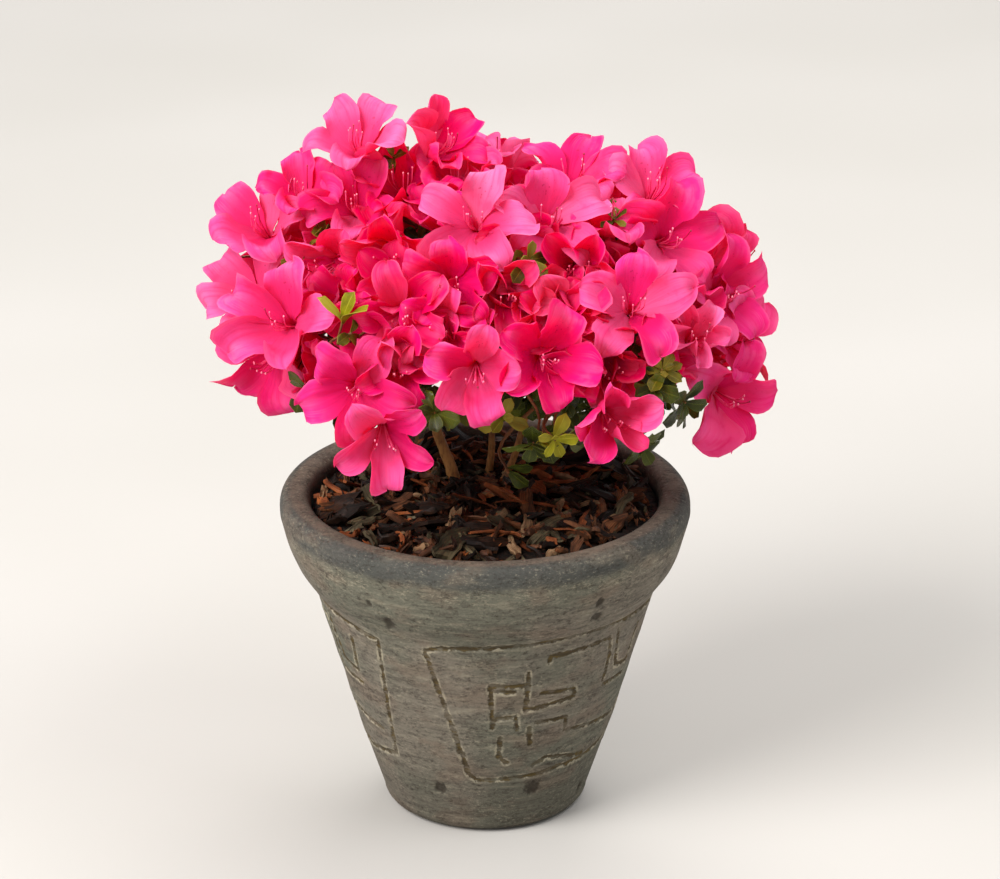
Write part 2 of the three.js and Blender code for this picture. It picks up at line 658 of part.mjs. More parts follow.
// The crown's plan: where each mass keeps to itself, and where its limbs lead
class Crown {
  constructor() {
    this.blooms = planBlooms();
    this.masses = MASSES.map((mass, index) => ({ ...mass, index, trusses: [], shoots: [] }));
    for (const mass of this.masses) this.planMass(mass);
    this.planShoots();
  }

  // How far inside the mass's space a point is. The space is what lies nearer to the seat of one of
  // its blooms than to the seat of any other mass's bloom.
  depthIn(index, point) {
    const own = this.blooms.filter((bloom) => bloom.mass === index);
    const others = this.blooms.filter((bloom) => bloom.mass !== index);
    const depths = own.map(({ seat }) => {
      const near = seat.distanceToSquared(point);
      const margins = others.map(
        (other) =>
          (other.seat.distanceToSquared(point) - near) / (2 * other.seat.distanceTo(seat)),
      );
      return Math.min(...margins);
    });
    return Math.max(...depths);
  }

  // Whether a point is in a bloom's funnel or would hide its face
  hidesBloom(point) {
    return this.blooms.some(({ at, face, width, flare }) => {
      const offset = point.clone().sub(at);
      const forward = offset.dot(face);
      const out = offset.addScaledVector(face, -forward).length();
      const mouth = BLOOM.mouth * width;
      if (forward < 0) return out < mouth * (1 + forward / BLOOM.tube);
      return out < Math.min(mouth + forward * Math.tan(radians(flare)), OPEN_FACE * width);
    });
  }

  ownerOf(point) {
    const near = (bloom) => bloom.seat.distanceTo(point);
    return this.blooms.reduce((best, bloom) => (near(bloom) < near(best) ? bloom : best)).mass;
  }

  // Whether a straight limb keeps inside the mass's space
  keepsInside(mass, from, to) {
    return LIMB_CHECKS.every(
      (share) => this.depthIn(mass.index, from.clone().lerp(to, share)) > TWIG_RADIUS + SPACE_MARGIN,
    );
  }

  // The mass's root, hub and trusses, each truss a group of neighbouring blooms
  planMass(mass) {
    const own = this.blooms.filter((bloom) => bloom.mass === mass.index);
    const mean = own.reduce((sum, bloom) => sum.add(bloom.way), new THREE.Vector3()).normalize();
    const ways = own.flatMap((bloom) =>
      LEAN_SHARES.map((share) => mean.clone().lerp(bloom.way, share).normalize()),
    );
    const room = (direction) =>
      Math.min(
        this.depthIn(mass.index, inCrown(direction, ROOT_DEPTH)),
        this.depthIn(mass.index, inCrown(direction, HUB_DEPTH)),
      );
    const middle = ways.reduce((best, other) => (room(other) > room(best) ? other : best));
    mass.root = inCrown(middle, ROOT_DEPTH);
    mass.hub = inCrown(middle, HUB_DEPTH);
    const { up, right } = sightLines(middle);
    const angle = (bloom) => {
      const offset = bloom.at.clone().sub(mass.hub);
      return Math.atan2(offset.dot(right), offset.dot(up));
    };
    own.sort((a, b) => angle(a) - angle(b));
    for (let i = 0; i < own.length; i += BLOOMS_PER_TRUSS) {
      const blooms = own.slice(i, i + BLOOMS_PER_TRUSS);
      const at = blooms.reduce((sum, bloom) => sum.add(bloom.base), new THREE.Vector3());
      at.divideScalar(blooms.length).lerp(mass.hub, 1 - TRUSS_DEPTH);
      mass.trusses.push({ at, blooms });
    }
  }

  // Leafy shoots: those the photograph shows, a skirt round the crown's foot, and more in wide gaps
  planShoots() {
    const shoots = SHOWN_SHOOTS.map((shown) => ({
      at: fromPicture(shown.across, shown.up, shown.sink),
      toward: heading(shown.bearing, shown.lift),
    }));
    for (let i = 0; i < SKIRT.count; i++) {
      const dice = new Dice(SEED + SEED_OF.skirt + i);
      const bearing = (360 * (i + dice.between(-SKIRT.scatter, SKIRT.scatter))) / SKIRT.count;
      const lift = dice.between(...SKIRT.lift);
      const at = inCrown(heading(bearing, lift), dice.between(...SKIRT.depth));
      shoots.push({ at, toward: heading(bearing, lift + dice.between(...SKIRT.rise)) });
    }
    for (let i = 0; i < GAP_SHOOT.candidates; i++) {
      const { bearing, lift } = evenly(i, GAP_SHOOT.candidates);
      const toward = heading(bearing, lift);
      const at = inCrown(toward, GAP_SHOOT.depth);
      const free = this.blooms.every((bloom) => bloom.at.distanceTo(at) > GAP_SHOOT.fromBlooms);
      if (free && shoots.every((other) => other.at.distanceTo(at) > GAP_SHOOT.fromShoots))
        shoots.push({ at, toward });
    }
    for (const shoot of shoots) this.addShoot(this.masses[this.ownerOf(shoot.at)], shoot);
  }

  // Joins a shoot to the nearest fork of its mass that it reaches without leaving the mass's space
  addShoot(mass, { at, toward }) {
    const forks = [mass.hub, ...mass.trusses.map((truss) => truss.at)];
    forks.sort((a, b) => a.distanceTo(at) - b.distanceTo(at));
    for (const from of forks) {
      const bend = at.clone().addScaledVector(toward, -SHOOT_BEND * at.distanceTo(from));
      if (!this.keepsInside(mass, from, bend) || !this.keepsInside(mass, bend, at)) continue;
      mass.shoots.push({ at, toward, line: [from, bend, at] });
      return;
    }
  }

  // A whorl of leaves round a bud, less those that would leave the mass's space or hide a bloom
  whorl(mass, at, toward, dice) {
    const leaves = [];
    const { up, right } = sightLines(toward);
    const first = dice.between(0, 2 * Math.PI);
    for (let k = 0; k < LEAVES_PER_SHOOT; k++) {
      const turn = k + dice.between(-LEAF_SCATTER, LEAF_SCATTER);
      const around = first + (2 * Math.PI * turn) / LEAVES_PER_SHOOT;
      const spread = radians(dice.between(...LEAF_SPREAD));
      const direction = toward
        .clone()
        .multiplyScalar(Math.cos(spread))
        .addScaledVector(up, Math.sin(spread) * Math.cos(around))
        .addScaledVector(right, Math.sin(spread) * Math.sin(around))
        .normalize();
      const size = dice.between(...LEAF_SIZES);
      const tip = at.clone().addScaledVector(direction, LEAF.length * size);
      const halfway = at.clone().lerp(tip, 0.5);
      const sideways = toward.clone().cross(direction).setLength((LEAF.width * size) / 2);
      const edges = [halfway.clone().add(sideways), halfway.clone().sub(sideways)];
      const kept = [at, tip, ...edges].every((point) => this.depthIn(mass.index, point) > SPACE_MARGIN);
      if (kept && ![halfway, tip].some((point) => this.hidesBloom(point)))
        leaves.push(leafSolid(at, direction, toward, size));
    }
    return leaves;
  }

  // A bloom's solid, trimmed halfway to each of its neighbours
  trimmedBloom(bloom) {
    let solid = bloomSolid(bloom);
    for (const other of this.blooms) {
      const apart = other.seat.distanceTo(bloom.seat);
      if (other === bloom || apart > SEAT.reach * BLOOM.width) continue;
      const normal = bloom.seat.clone().sub(other.seat).normalize();
      const middle = bloom.seat.clone().add(other.seat).multiplyScalar(0.5);
      solid = solid.trimByPlane(normal.toArray(), normal.dot(middle) + SEAT_GAP / 2);
    }
    return solid.isEmpty() ? null : largestBody(solid);
  }

  // The dense heart of a mass: a faceted lump round its hub that fills its space behind the blooms.
  // Its corners go out as far as there is room, and come back where a face would leave the space.
  coreSolid(mass) {
    const fits = (point) => {
      const between = shareOf(point) > CORE.inner && shareOf(point) < CORE.outer;
      return between && this.depthIn(mass.index, point) > CORE.clearance;
    };
    const ball = new THREE.IcosahedronGeometry(1, 1).deleteAttribute("normal").deleteAttribute("uv");
    const globe = mergeVertices(ball);
    const place = globe.getAttribute("position");
    const corners = [];
    for (let i = 0; i < place.count; i++) {
      const stride = new THREE.Vector3().fromBufferAttribute(place, i).setLength(CORE.step);
      const corner = mass.hub.clone();
      while (fits(corner.clone().add(stride))) corner.add(stride);
      corners.push(corner.addScaledVector(stride, 0.5));
    }
    const faces = [];
    for (let i = 0; i < globe.index.count; i += 3)
      faces.push([0, 1, 2].map((k) => globe.index.getX(i + k)));
    const leaves = (face) =>
      face.some((corner, k) => {
        const middle = corners[corner].clone().lerp(corners[face[(k + 1) % 3]], 0.5);
        const inner = middle.clone().lerp(corners[face[(k + 2) % 3]], 1 / 3);
        return [middle, inner].some((point) => this.depthIn(mass.index, point) < SPACE_MARGIN);
      });
    for (let round = 0; round < CORE.rounds; round++)
      for (const face of faces.filter(leaves))
        for (const corner of face) corners[corner].lerp(mass.hub, CORE.shrink);
    return solidFrom(corners, faces);
  }

  // A mass: one stem that branches to its trusses, blooms and shoots, with leaves in whorls
  massSolid(mass, limbSpace) {
    const dice = new Dice(SEED + SEED_OF.leaves + mass.index);
    const start = mass.hub.clone().sub(mass.root).normalize();
    const parts = [
      this.coreSolid(mass),
      limb([mass.root, mass.hub], TWIG_RADIUS, TWIG_RADIUS, TWIG_SIDES),
      budSolid(mass.hub, start, HUB_BUD),
    ];
    for (const truss of mass.trusses) {
      const toward = truss.at.clone().sub(mass.hub).normalize();
      parts.push(limb([mass.hub, truss.at], TWIG_RADIUS, STALK_RADIUS, STALK_SIDES));
      parts.push(budSolid(truss.at, toward, BUD));
      for (const bloom of truss.blooms) {
        const solid = this.trimmedBloom(bloom);
        if (!solid) continue;
        const inside = bloom.base.clone().addScaledVector(bloom.face, STALK_REACH);
        parts.push(limb([truss.at, inside], STALK_RADIUS, STALK_RADIUS, STALK_SIDES), solid);
      }
    }
    for (const { at, toward, line } of mass.shoots) {
      parts.push(limb(line, STALK_RADIUS, STALK_RADIUS, STALK_SIDES), budSolid(at, toward, BUD));
      parts.push(...this.whorl(mass, at, toward, dice));
    }
    return largestBody(wasm.Manifold.union(parts).subtract(limbSpace).simplify(FINEST_DETAIL));
  }
}

// The curve of the bough that carries a mass
function boughPath(mass) {
  const stem = STEMS.find(({ name }) => name === mass.stem);
  const start = new THREE.CatmullRomCurve3(stemPath(stem)).getPointAt(mass.leaves);
  const middle = start.clone().lerp(mass.root, BOUGH_ARCH.at);
  middle.z += BOUGH_ARCH.rise * start.distanceTo(mass.root);
  return [start, middle, mass.root.clone()];
}

// A bough, or the space that it and its clearance take up
function boughSolid(mass, clearance = 0) {
  const line = lengthened(smooth(boughPath(mass), 3), clearance);
  const [thick, thin] = BOUGH_RADII[mass.stem];
  return limb(line, thick + clearance, thin + clearance, BOUGH_SIDES);
}

const azalea = new THREE.Group();
azalea.add(meshOf("pot", pot(), COLOURS.clay, 0.9));
azalea.add(meshOf("compost", compost(), COLOURS.compost, 0.95));

let limbSpace = wasm.Manifold.union(STEMS.map((stem) => stemSolid(stem, SEAT_GAP)));
for (const stem of STEMS) {
  const cut = stemSolid(stem).trimByPlane([0, 0, 1], compostTop(0) + SEAT_GAP);
  azalea.add(meshOf(stem.name, cut, COLOURS.bark, 0.8));
}

const crown = new Crown();
for (const mass of crown.masses) {
  const bough = largestBody(boughSolid(mass).subtract(limbSpace));
  limbSpace = limbSpace.add(boughSolid(mass, SEAT_GAP));
  azalea.add(meshOf(mass.name.replace("crown", "bough"), bough, COLOURS.bark, 0.8));
}
for (const mass of crown.masses)
  azalea.add(meshOf(mass.name, crown.massSolid(mass, limbSpace), COLOURS.blossom, 0.6));

export default azalea;
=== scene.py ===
"""A flowering azalea in a weathered clay pot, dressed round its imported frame.

Sizes are in millimetres, as in the part's source, and become metres when a mesh is made. Bearings are in
degrees: 0 faces the viewer at -Y and 90 the right at +X. A lift is an angle above the horizon.
"""

import logging
import math
from collections.abc import Iterable, Iterator, Sequence
from contextlib import contextmanager
from dataclasses import dataclass, field
from enum import Enum
from typing import NamedTuple

import bpy
import numpy as np
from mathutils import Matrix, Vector


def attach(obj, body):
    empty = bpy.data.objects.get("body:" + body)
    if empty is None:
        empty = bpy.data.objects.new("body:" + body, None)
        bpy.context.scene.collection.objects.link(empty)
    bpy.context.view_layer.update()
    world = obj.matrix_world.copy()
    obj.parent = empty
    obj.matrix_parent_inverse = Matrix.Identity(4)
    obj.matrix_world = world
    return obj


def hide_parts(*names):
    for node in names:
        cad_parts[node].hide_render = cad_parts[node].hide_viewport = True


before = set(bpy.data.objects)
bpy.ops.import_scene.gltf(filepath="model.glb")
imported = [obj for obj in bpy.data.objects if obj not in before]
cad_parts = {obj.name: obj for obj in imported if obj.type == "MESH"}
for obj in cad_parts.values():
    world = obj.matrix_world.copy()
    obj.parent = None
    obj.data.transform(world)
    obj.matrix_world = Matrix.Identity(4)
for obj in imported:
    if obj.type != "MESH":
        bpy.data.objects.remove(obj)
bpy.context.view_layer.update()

MM = 0.001
FULL_TURN = 2 * math.pi
LOG = logging.getLogger("azalea")

GRAIN_MAP, BAKE_MAP, BAKE_MARGIN = "grain", "OFBake", 0.06
TONE_MARK, SPOT_MARK, FRET_MARK, PIT_MARK = "tone", "spots", "fret", "pit"

Colour = tuple[float, float, float, float]
Piece = bpy.types.Object
Point = np.ndarray
Socket = bpy.types.NodeSocket


def paint(red: int, green: int, blue: int) -> Colour:
    """Turns a colour given as on a paint chart, 0 to 255, into a shader's colour.

    Args:
        red: The red part.
        green: The green part.
        blue: The blue part.

    Returns:
        The same colour as linear light, with full cover.
    """
    parts = [part / 255 for part in (red, green, blue)]
    linear = [part / 12.92 if part <= 0.04045 else ((part + 0.055) / 1.055) ** 2.4 for part in parts]
    return (*linear, 1.0)


# The pot
POT_HEIGHT = 146.0
RIM_RADIUS = 90.0
LIP_WIDTH = 14.0
LIP_RISE = 8.5
LIP_SQUARENESS = 0.62
NECK_RADIUS = 75.0
NECK_HEIGHT = 103.5
COLLAR = ((77.4, 107.0), (80.5, 111.5), (83.6, 116.5), (86.4, 123.5), (88.6, 131.5))
BASE_RADIUS = 45.5
FOOT_ROUNDING = 6.0
WALL_BULGE = 0.8
FLOOR_THICKNESS = 10.0
INNER_FLOOR_RADIUS = 40.0
DRAIN_RADIUS, DRAIN_RING, DRAIN_COUNT = 4.5, 22.0, 3

# One panel of the incised key fret, as lines through (bearing, height) on the pot's wall
FRET_OUTLINE = (
    (-20.5, 99.5), (-14.5, 102), (8, 104), (31, 105), (46.5, 104), (70, 102), (81.5, 99.5), (79, 67.5),
    (75, 36), (50.5, 32), (35, 32), (24.5, 30.5), (-4, 30), (-7.5, 33), (-11.5, 51.5), (-16, 73.5),
    (-20.5, 99.5),
)  # fmt: skip
FRET_LINES = (
    ((3, 59.5), (2, 82.5), (16, 81.5)),
    ((5, 79.5), (10.5, 78.5)),
    ((15.5, 88.5), (15.5, 68), (35.5, 71), (35, 75), (21.5, 76.5)),
    ((21, 60.5), (34, 60), (35, 52.5), (53, 50), (70, 47.5)),
    ((18, 58), (19, 48.5)),
    ((6, 54), (6, 43), (9.5, 39.5)),
    ((12, 65), (13, 58)),
    ((4.5, 64.5), (11, 65)),
    ((22, 36), (28, 39.5), (50.5, 34.5)),
    ((22.5, 93), (22.5, 96), (48, 96.5), (50.5, 85.5), (50, 73.5)),
    ((52, 99), (56, 78.5), (65, 76.5)),
    ((51, 71), (65.5, 70)),
    ((67, 94), (65.5, 78)),
)
PANELS, PANEL_MIDDLE = 3, 30.0
FRET_REACH = 4.0

# The pot's bake map: the lip's length on it, the lengths that fill it, and the skin's share of it
LIP_ON_MAP, SKIN_ON_MAP, DISC_ON_MAP, SKIN_SHARE = 24.0, 290, 560, 0.8

# The compost
COMPOST_EDGE = 138.5
COMPOST_MOUND = 2.5
SEAT_GAP = 0.3

# The crown is a dome of blossom: its shell passes through the mouths of the blooms
CROWN_CENTRE = np.array([1.0, 2.0, 215.0])
CROWN_RADII = np.array([106.0, 94.0, 71.0])
FOOT_LIFT_SIDES, FOOT_LIFT_TILT = -4.0, 20.0
FILL_CANDIDATES, FILL_SPACING = 420, 27.0
FILL_DEPTH = (0.95, 1.01)
FILL_WIDTH = (41.0, 47.0)
BLOOM_TILT, BLOOM_LIFT = 14.0, 6.0
FACE_LIFTS = (-30.0, 84.0)
GOLDEN_ANGLE = 137.508
VIEW_LIFT, VIEW_RANGE, FURTHEST_BACK = 22.0, 1800.0, 12.0

# A bloom. The mouth and the lobes are shares of its width.
PETALS = 5
MOUTH, LOBE = 0.2, 0.35
TUBE = 14.0
SINUS = 0.4
FLARE = (58.0, 76.0)
TIP_DROP = 0.6
SEAT_BEHIND = 6.0
SEAT_DEPTH = (0.86, 1.25)
OPEN_FACE = 0.36

# The branching of a mass
TWIG_RADIUS = 1.3
LEAN_SHARES = (0.0, 0.25, 0.5)
ROOT_DEPTH, HUB_DEPTH, TRUSS_DEPTH = 0.47, 0.6, 0.76
BLOOMS_PER_TRUSS = 4
SHOOT_BEND = 0.35
SKIRT_COUNT, SKIRT_SCATTER = 8, 0.2
SKIRT_LIFT, SKIRT_DEPTH, SKIRT_RISE = (-46.0, -32.0), (0.76, 0.9), (0.0, 30.0)
GAP_CANDIDATES, GAP_DEPTH, GAP_FROM_BLOOMS, GAP_FROM_SHOOTS = 300, 0.96, 15.5, 44.0
SPACE_MARGIN = 0.4
LIMB_CHECKS = (0.0, 0.2, 0.4, 0.6, 0.8, 1.0)
SHARING_ROUNDS = 5

SEED = 11
SEED_FILL, SEED_FLARE, SEED_SKIRT = 100, 1000, 3000
SEED_PETALS, SEED_INNER, SEED_INNER_PETALS, SEED_HEARTS = 7000, 8000, 8500, 10000
SEED_SPRIGS, SEED_FILL_SPRIGS, SEED_TUFTS = 9000, 11000, 18000
SEED_CHIPS, SEED_CRUMBS, SEED_STRIPS = 12000, 17000, 21000

STEM_START = 4.0
ROOT_FLARE = 1.45

# The window under the crown that shows the bare stems, as the viewer sees it
BARE_TOP, BARE_SIDES = 24.0, (-32.0, 15.0)


class Tint(Enum):
    """How pale or deep the petals of a bloom are: partly their own colour, and partly painted light, pale as
    a painted sheen on blooms high on the crown and deep as painted shade on blooms sunk into it.
    """

    PALE = (250, 122, 196)
    LIGHT = (251, 92, 180)
    ROSE = (251, 58, 162)
    RICH = (252, 24, 144)
    DEEP = (250, 4, 120)


class Habit(Enum):
    """How the lobes of a bloom are held: (more flare, cupping, recurve of the tips, lobe length)."""

    OPEN = (0.0, 0.10, 2.2, 1.0)
    CUPPED = (-16.0, 0.28, 0.4, 1.0)
    WIDE = (8.0, -0.02, 4.0, 1.0)
    HANGING = (-20.0, 0.14, 1.0, 1.12)
    FOLDED = (-24.0, 0.55, 0.5, 0.96)


class LeafKind(Enum):
    """The leaves of a sprig, by their age."""

    YOUNG = "young"
    OLIVE = "olive"
    OLD = "old"


class ShownBloom(NamedTuple):
    """A bloom that the picture shows, placed across and up from the rim's middle as the viewer sees it."""

    across: float
    up: float
    sink: float
    bearing: float
    lift: float
    spin: float
    width: float
    tint: Tint
    habit: Habit


class ShownShoot(NamedTuple):
    """A leafy shoot that shows between the blooms, placed the same way."""

    across: float
    up: float
    sink: float
    bearing: float
    lift: float
    kind: LeafKind


class Tuft(NamedTuple):
    """A tuft of leaves where the picture shows one between the blooms, in millimetres and degrees."""

    across: float
    up: float
    sink: float
    bearing: float
    lift: float
    kind: LeafKind
    count: int
    size: float


class StemShape(NamedTuple):
    """A stem: its foot and top, its radius at each, and how far it bows sideways."""

    name: str
    foot: tuple[float, float]
    top: tuple[float, float, float]
    radii: tuple[float, float]
    bow: float


class MassShape(NamedTuple):
    """A mass of the crown: the bearing and lift of its middle, its stem, and where its bough leaves that."""

    name: str
    bearing: float
    lift: float
    stem: str
    leaves: float


SHOWN_BLOOMS = (
    ShownBloom(-56, 151, 0, -25, 66, 20, 44, Tint.PALE, Habit.OPEN),
    ShownBloom(-21, 150, 0, 50, 48, 10, 44, Tint.RICH, Habit.CUPPED),
    ShownBloom(-57, 124, 0, -10, 45, 30, 42, Tint.ROSE, Habit.OPEN),
    ShownBloom(-97, 115, 0, -28, 52, 0, 46, Tint.LIGHT, Habit.OPEN),
    ShownBloom(-79, 129, 0, -20, 60, 36, 40, Tint.ROSE, Habit.OPEN),
    ShownBloom(-102, 85, 0, -38, 34, 15, 44, Tint.PALE, Habit.WIDE),
    ShownBloom(-92, 58, 9, -25, -12, 20, 46, Tint.ROSE, Habit.OPEN),
    ShownBloom(-87, 74, -4, -20, 30, 4, 50, Tint.LIGHT, Habit.OPEN),
    ShownBloom(-67, 99, 7, -25, 6, 20, 42, Tint.ROSE, Habit.CUPPED),
    ShownBloom(-36, 133, 3, -10, 48, 55, 44, Tint.RICH, Habit.CUPPED),
    ShownBloom(-12, 136, 0, 10, 62, 12, 40, Tint.ROSE, Habit.OPEN),
    ShownBloom(-41, 104, 4, -12, -4, 0, 44, Tint.DEEP, Habit.CUPPED),
    ShownBloom(-4, 117, -3, -5, 34, 8, 47, Tint.PALE, Habit.OPEN),
    ShownBloom(28, 119, -1, 14, 38, 0, 44, Tint.LIGHT, Habit.WIDE),
    ShownBloom(38, 137, 0, 22, 64, 30, 44, Tint.ROSE, Habit.OPEN),
    ShownBloom(73, 131, 0, 20, 60, 0, 42, Tint.LIGHT, Habit.OPEN),
    ShownBloom(80, 110, -2, 32, 30, 20, 47, Tint.ROSE, Habit.OPEN),
    ShownBloom(104, 99, 4, 55, 25, 0, 38, Tint.RICH, Habit.OPEN),
    ShownBloom(104, 86, -1, 42, 20, 10, 46, Tint.ROSE, Habit.WIDE),
    ShownBloom(92, 67, -4, 16, 30, 40, 32, Tint.PALE, Habit.FOLDED),
    ShownBloom(65, 80, -2, 8, 34, 6, 48, Tint.ROSE, Habit.WIDE),
    ShownBloom(41, 97, 9, 0, 10, 30, 42, Tint.RICH, Habit.CUPPED),
    ShownBloom(33, 78, 11, 6, 4, 50, 40, Tint.DEEP, Habit.OPEN),
    ShownBloom(-15, 90, 6, -5, 16, 0, 42, Tint.RICH, Habit.OPEN),
    ShownBloom(9, 88, 9, 5, 6, 30, 40, Tint.DEEP, Habit.CUPPED),
    ShownBloom(-36, 78, 5, -5, 14, 45, 42, Tint.DEEP, Habit.OPEN),
    ShownBloom(-19, 72, 13, 0, 6, 10, 38, Tint.RICH, Habit.OPEN),
    ShownBloom(-38, 57, 10, 5, 0, 25, 40, Tint.RICH, Habit.CUPPED),
    ShownBloom(-4, 53, -3, -2, 6, 12, 45, Tint.ROSE, Habit.OPEN),
    ShownBloom(26, 59, 0, 10, 10, 30, 48, Tint.RICH, Habit.OPEN),
    ShownBloom(53, 55, 15, 10, -5, 0, 38, Tint.DEEP, Habit.CUPPED),
    ShownBloom(55, 32, -2, 14, 2, 0, 45, Tint.ROSE, Habit.CUPPED),
    ShownBloom(105, 41, 0, 34, 0, 20, 46, Tint.ROSE, Habit.OPEN),
    ShownBloom(-56, 45, 0, -6, 10, 30, 44, Tint.ROSE, Habit.WIDE),
    ShownBloom(-44, 24, -3, 4, -10, 36, 42, Tint.ROSE, Habit.HANGING),
    ShownBloom(109, 67, 6, 52, 12, 0, 40, Tint.ROSE, Habit.OPEN),
)

SHOWN_SHOOTS = (
    ShownShoot(-61, 80, 4, 20, 60, LeafKind.YOUNG),
    ShownShoot(57, 119, 3, 20, 50, LeafKind.OLIVE),
    ShownShoot(19, 101, 6, 30, 10, LeafKind.OLIVE),
    ShownShoot(77, 50, 8, 20, 30, LeafKind.OLIVE),
    ShownShoot(88, 36, 12, 60, -20, LeafKind.OLD),
    ShownShoot(26, 22, 10, -5, -25, LeafKind.YOUNG),
    ShownShoot(-20, 33, 14, -10, 0, LeafKind.OLD),
    ShownShoot(-80, 44, 14, -40, -20, LeafKind.OLD),
    ShownShoot(69, 18, 16, 40, -35, LeafKind.OLD),
)

TUFTS = (
    Tuft(-62, 75, -8, 10, 75, LeafKind.YOUNG, 3, 1.35),
    Tuft(-58, 69, -4, 60, 30, LeafKind.OLIVE, 3, 0.8),
    Tuft(57, 119, -4, 25, 60, LeafKind.OLIVE, 6, 0.62),
    Tuft(20, 101, -3, 30, 15, LeafKind.OLIVE, 5, 0.9),
    Tuft(78, 53, -3, 10, 50, LeafKind.OLIVE, 9, 0.75),
    Tuft(74, 45, -1, 0, 10, LeafKind.OLD, 7, 0.95),
    Tuft(88, 38, -2, 40, -20, LeafKind.OLD, 5, 0.9),
    Tuft(31, 22, -3, 10, -10, LeafKind.YOUNG, 6, 0.85),
    Tuft(21, 19, 2, -10, -50, LeafKind.OLD, 7, 0.95),
    Tuft(38, 20, 0, 30, -35, LeafKind.OLD, 4, 0.8),
    Tuft(-22, 34, 4, -10, 10, LeafKind.OLD, 6, 0.9),
    Tuft(70, 21, 6, 40, -35, LeafKind.OLD, 4, 0.8),
    Tuft(-79, 44, 6, -40, -20, LeafKind.OLD, 5, 0.9),
    Tuft(-40, 146, 8, 0, 60, LeafKind.OLIVE, 5, 0.6),
    Tuft(-110, 101, 4, -60, 10, LeafKind.YOUNG, 3, 0.6),
    Tuft(-83, 97, 0, -20, 20, LeafKind.OLIVE, 4, 0.8),
    Tuft(8, 37, 45, 0, -30, LeafKind.OLD, 8, 0.95),
    Tuft(20, 39, 48, 20, -20, LeafKind.OLD, 8, 0.95),
    Tuft(32, 37, 42, 30, -30, LeafKind.OLD, 8, 0.95),
    Tuft(-8, 38, 42, -20, -25, LeafKind.OLD, 7, 0.95),
    Tuft(46, 34, 40, 30, -25, LeafKind.OLD, 6, 0.9),
)

STEMS = (
    StemShape("main_stem", (-12, 16), (-27, 7, 196), (2.5, 1.7), -1),
    StemShape("second_stem", (1, 29), (3, 24, 194), (1.5, 1.2), 1),
    StemShape("third_stem", (7, 23), (22, 11, 194), (1.5, 1.2), 1.5),
)

MASSES = (
    MassShape("crown_top", -60, 80, "main_stem", 1),
    MassShape("crown_upper_front_left", -48, 45, "main_stem", 0.86),
    MassShape("crown_upper_front_right", 35, 45, "third_stem", 1),
    MassShape("crown_upper_back_left", -145, 40, "second_stem", 1),
    MassShape("crown_upper_back_right", 125, 40, "second_stem", 0.88),
    MassShape("crown_front", 8, 22, "third_stem", 0.68),
    MassShape("crown_front_left", -50, 10, "main_stem", 0.72),
    MassShape("crown_left", -100, 5, "main_stem", 0.6),
    MassShape("crown_back_left", -155, -4, "second_stem", 0.75),
    MassShape("crown_back_right", 150, -4, "second_stem", 0.62),
    MassShape("crown_right", 98, 2, "third_stem", 0.78),
    MassShape("crown_front_right", 52, 10, "third_stem", 0.88),
)
BOUGH_ARCH_AT, BOUGH_ARCH_RISE = 0.45, 0.08
CROWN_NODES = tuple(mass.name for mass in MASSES)
BOUGH_NODES = tuple(name.replace("crown", "bough") for name in CROWN_NODES)


class Dice:
    """A repeatable run of numbers from 0 to 1, the same as in the part's source."""

    def __init__(self, seed: int) -> None:
        """Starts the run.

        Args:
            seed: The whole number that picks the run.
        """
        self.state = seed * 2654435761 & 0xFFFFFFFF
        self.next()
        self.next()

    def next(self) -> float:
        """Gives the next number, from 0 to 1."""
        self.state = (self.state * 1664525 + 1013904223) & 0xFFFFFFFF
        return self.state / 4294967296

    def between(self, low: float, high: float) -> float:
        """Gives the next number, from low to high."""
        return low + (high - low) * self.next()

    def pick(self, choices: Sequence) -> object:
        """Gives one of the choices."""
        return choices[int(self.next() * len(choices))]


def unit(vector: Point) -> Point:
    """Makes a vector one long."""
    return vector / max(np.linalg.norm(vector), 1e-12)


def heading(bearing: float, lift: float) -> Point:
    """Gives the direction at a bearing and a lift."""
    b, l = math.radians(bearing), math.radians(lift)
    return np.array([math.sin(b) * math.cos(l), -math.cos(b) * math.cos(l), math.sin(l)])


def way_to(point: Point) -> Point:
    """Gives the direction from the crown's centre to a point, with the crown taken as a ball."""
    return unit((point - CROWN_CENTRE) / CROWN_RADII)


def share_of(point: Point) -> float:
    """Tells how far from the crown's centre a point is, as a share of the way to the shell."""
    return float(np.linalg.norm((point - CROWN_CENTRE) / CROWN_RADII))


def in_crown(direction: Point, share: float) -> Point:
    """Gives the crown's point in a direction, at a share of the way out to the shell."""
    return direction * CROWN_RADII * share + CROWN_CENTRE


def foot_lift(bearing: float) -> float:
    """Tells how low the crown reaches at a bearing, as a lift."""
    return FOOT_LIFT_SIDES + FOOT_LIFT_TILT * math.cos(math.radians(bearing))


def from_picture(across: float, up: float, sink: float) -> Point:
    """Finds the point of the crown's near side that the viewer sees at a place in the picture.

    Args:
        across: Millimetres to the right of the rim's middle.
        up: Millimetres above it, square to the line of sight.
        sink: How far the point lies under the crown's shell.

    Returns:
        The point.
    """
    e = math.radians(VIEW_LIFT)
    ahead = np.array([0, math.cos(e), -math.sin(e)])
    upward = np.array([0, math.sin(e), math.cos(e)])
    eye = np.array([0, 0, POT_HEIGHT]) - ahead * VIEW_RANGE
    ray = ahead + upward * (up / VIEW_RANGE)
    ray[0] = across / VIEW_RANGE
    shell = CROWN_RADII - sink
    start, along = (eye - CROWN_CENTRE) / shell, ray / shell
    a, b = along @ along, start @ along
    inside = max(0.0, b * b - a * (start @ start - 1))
    reach = min((-b - math.sqrt(inside)) / a, (FURTHEST_BACK - eye[1]) / ray[1])
    return eye + ray * reach


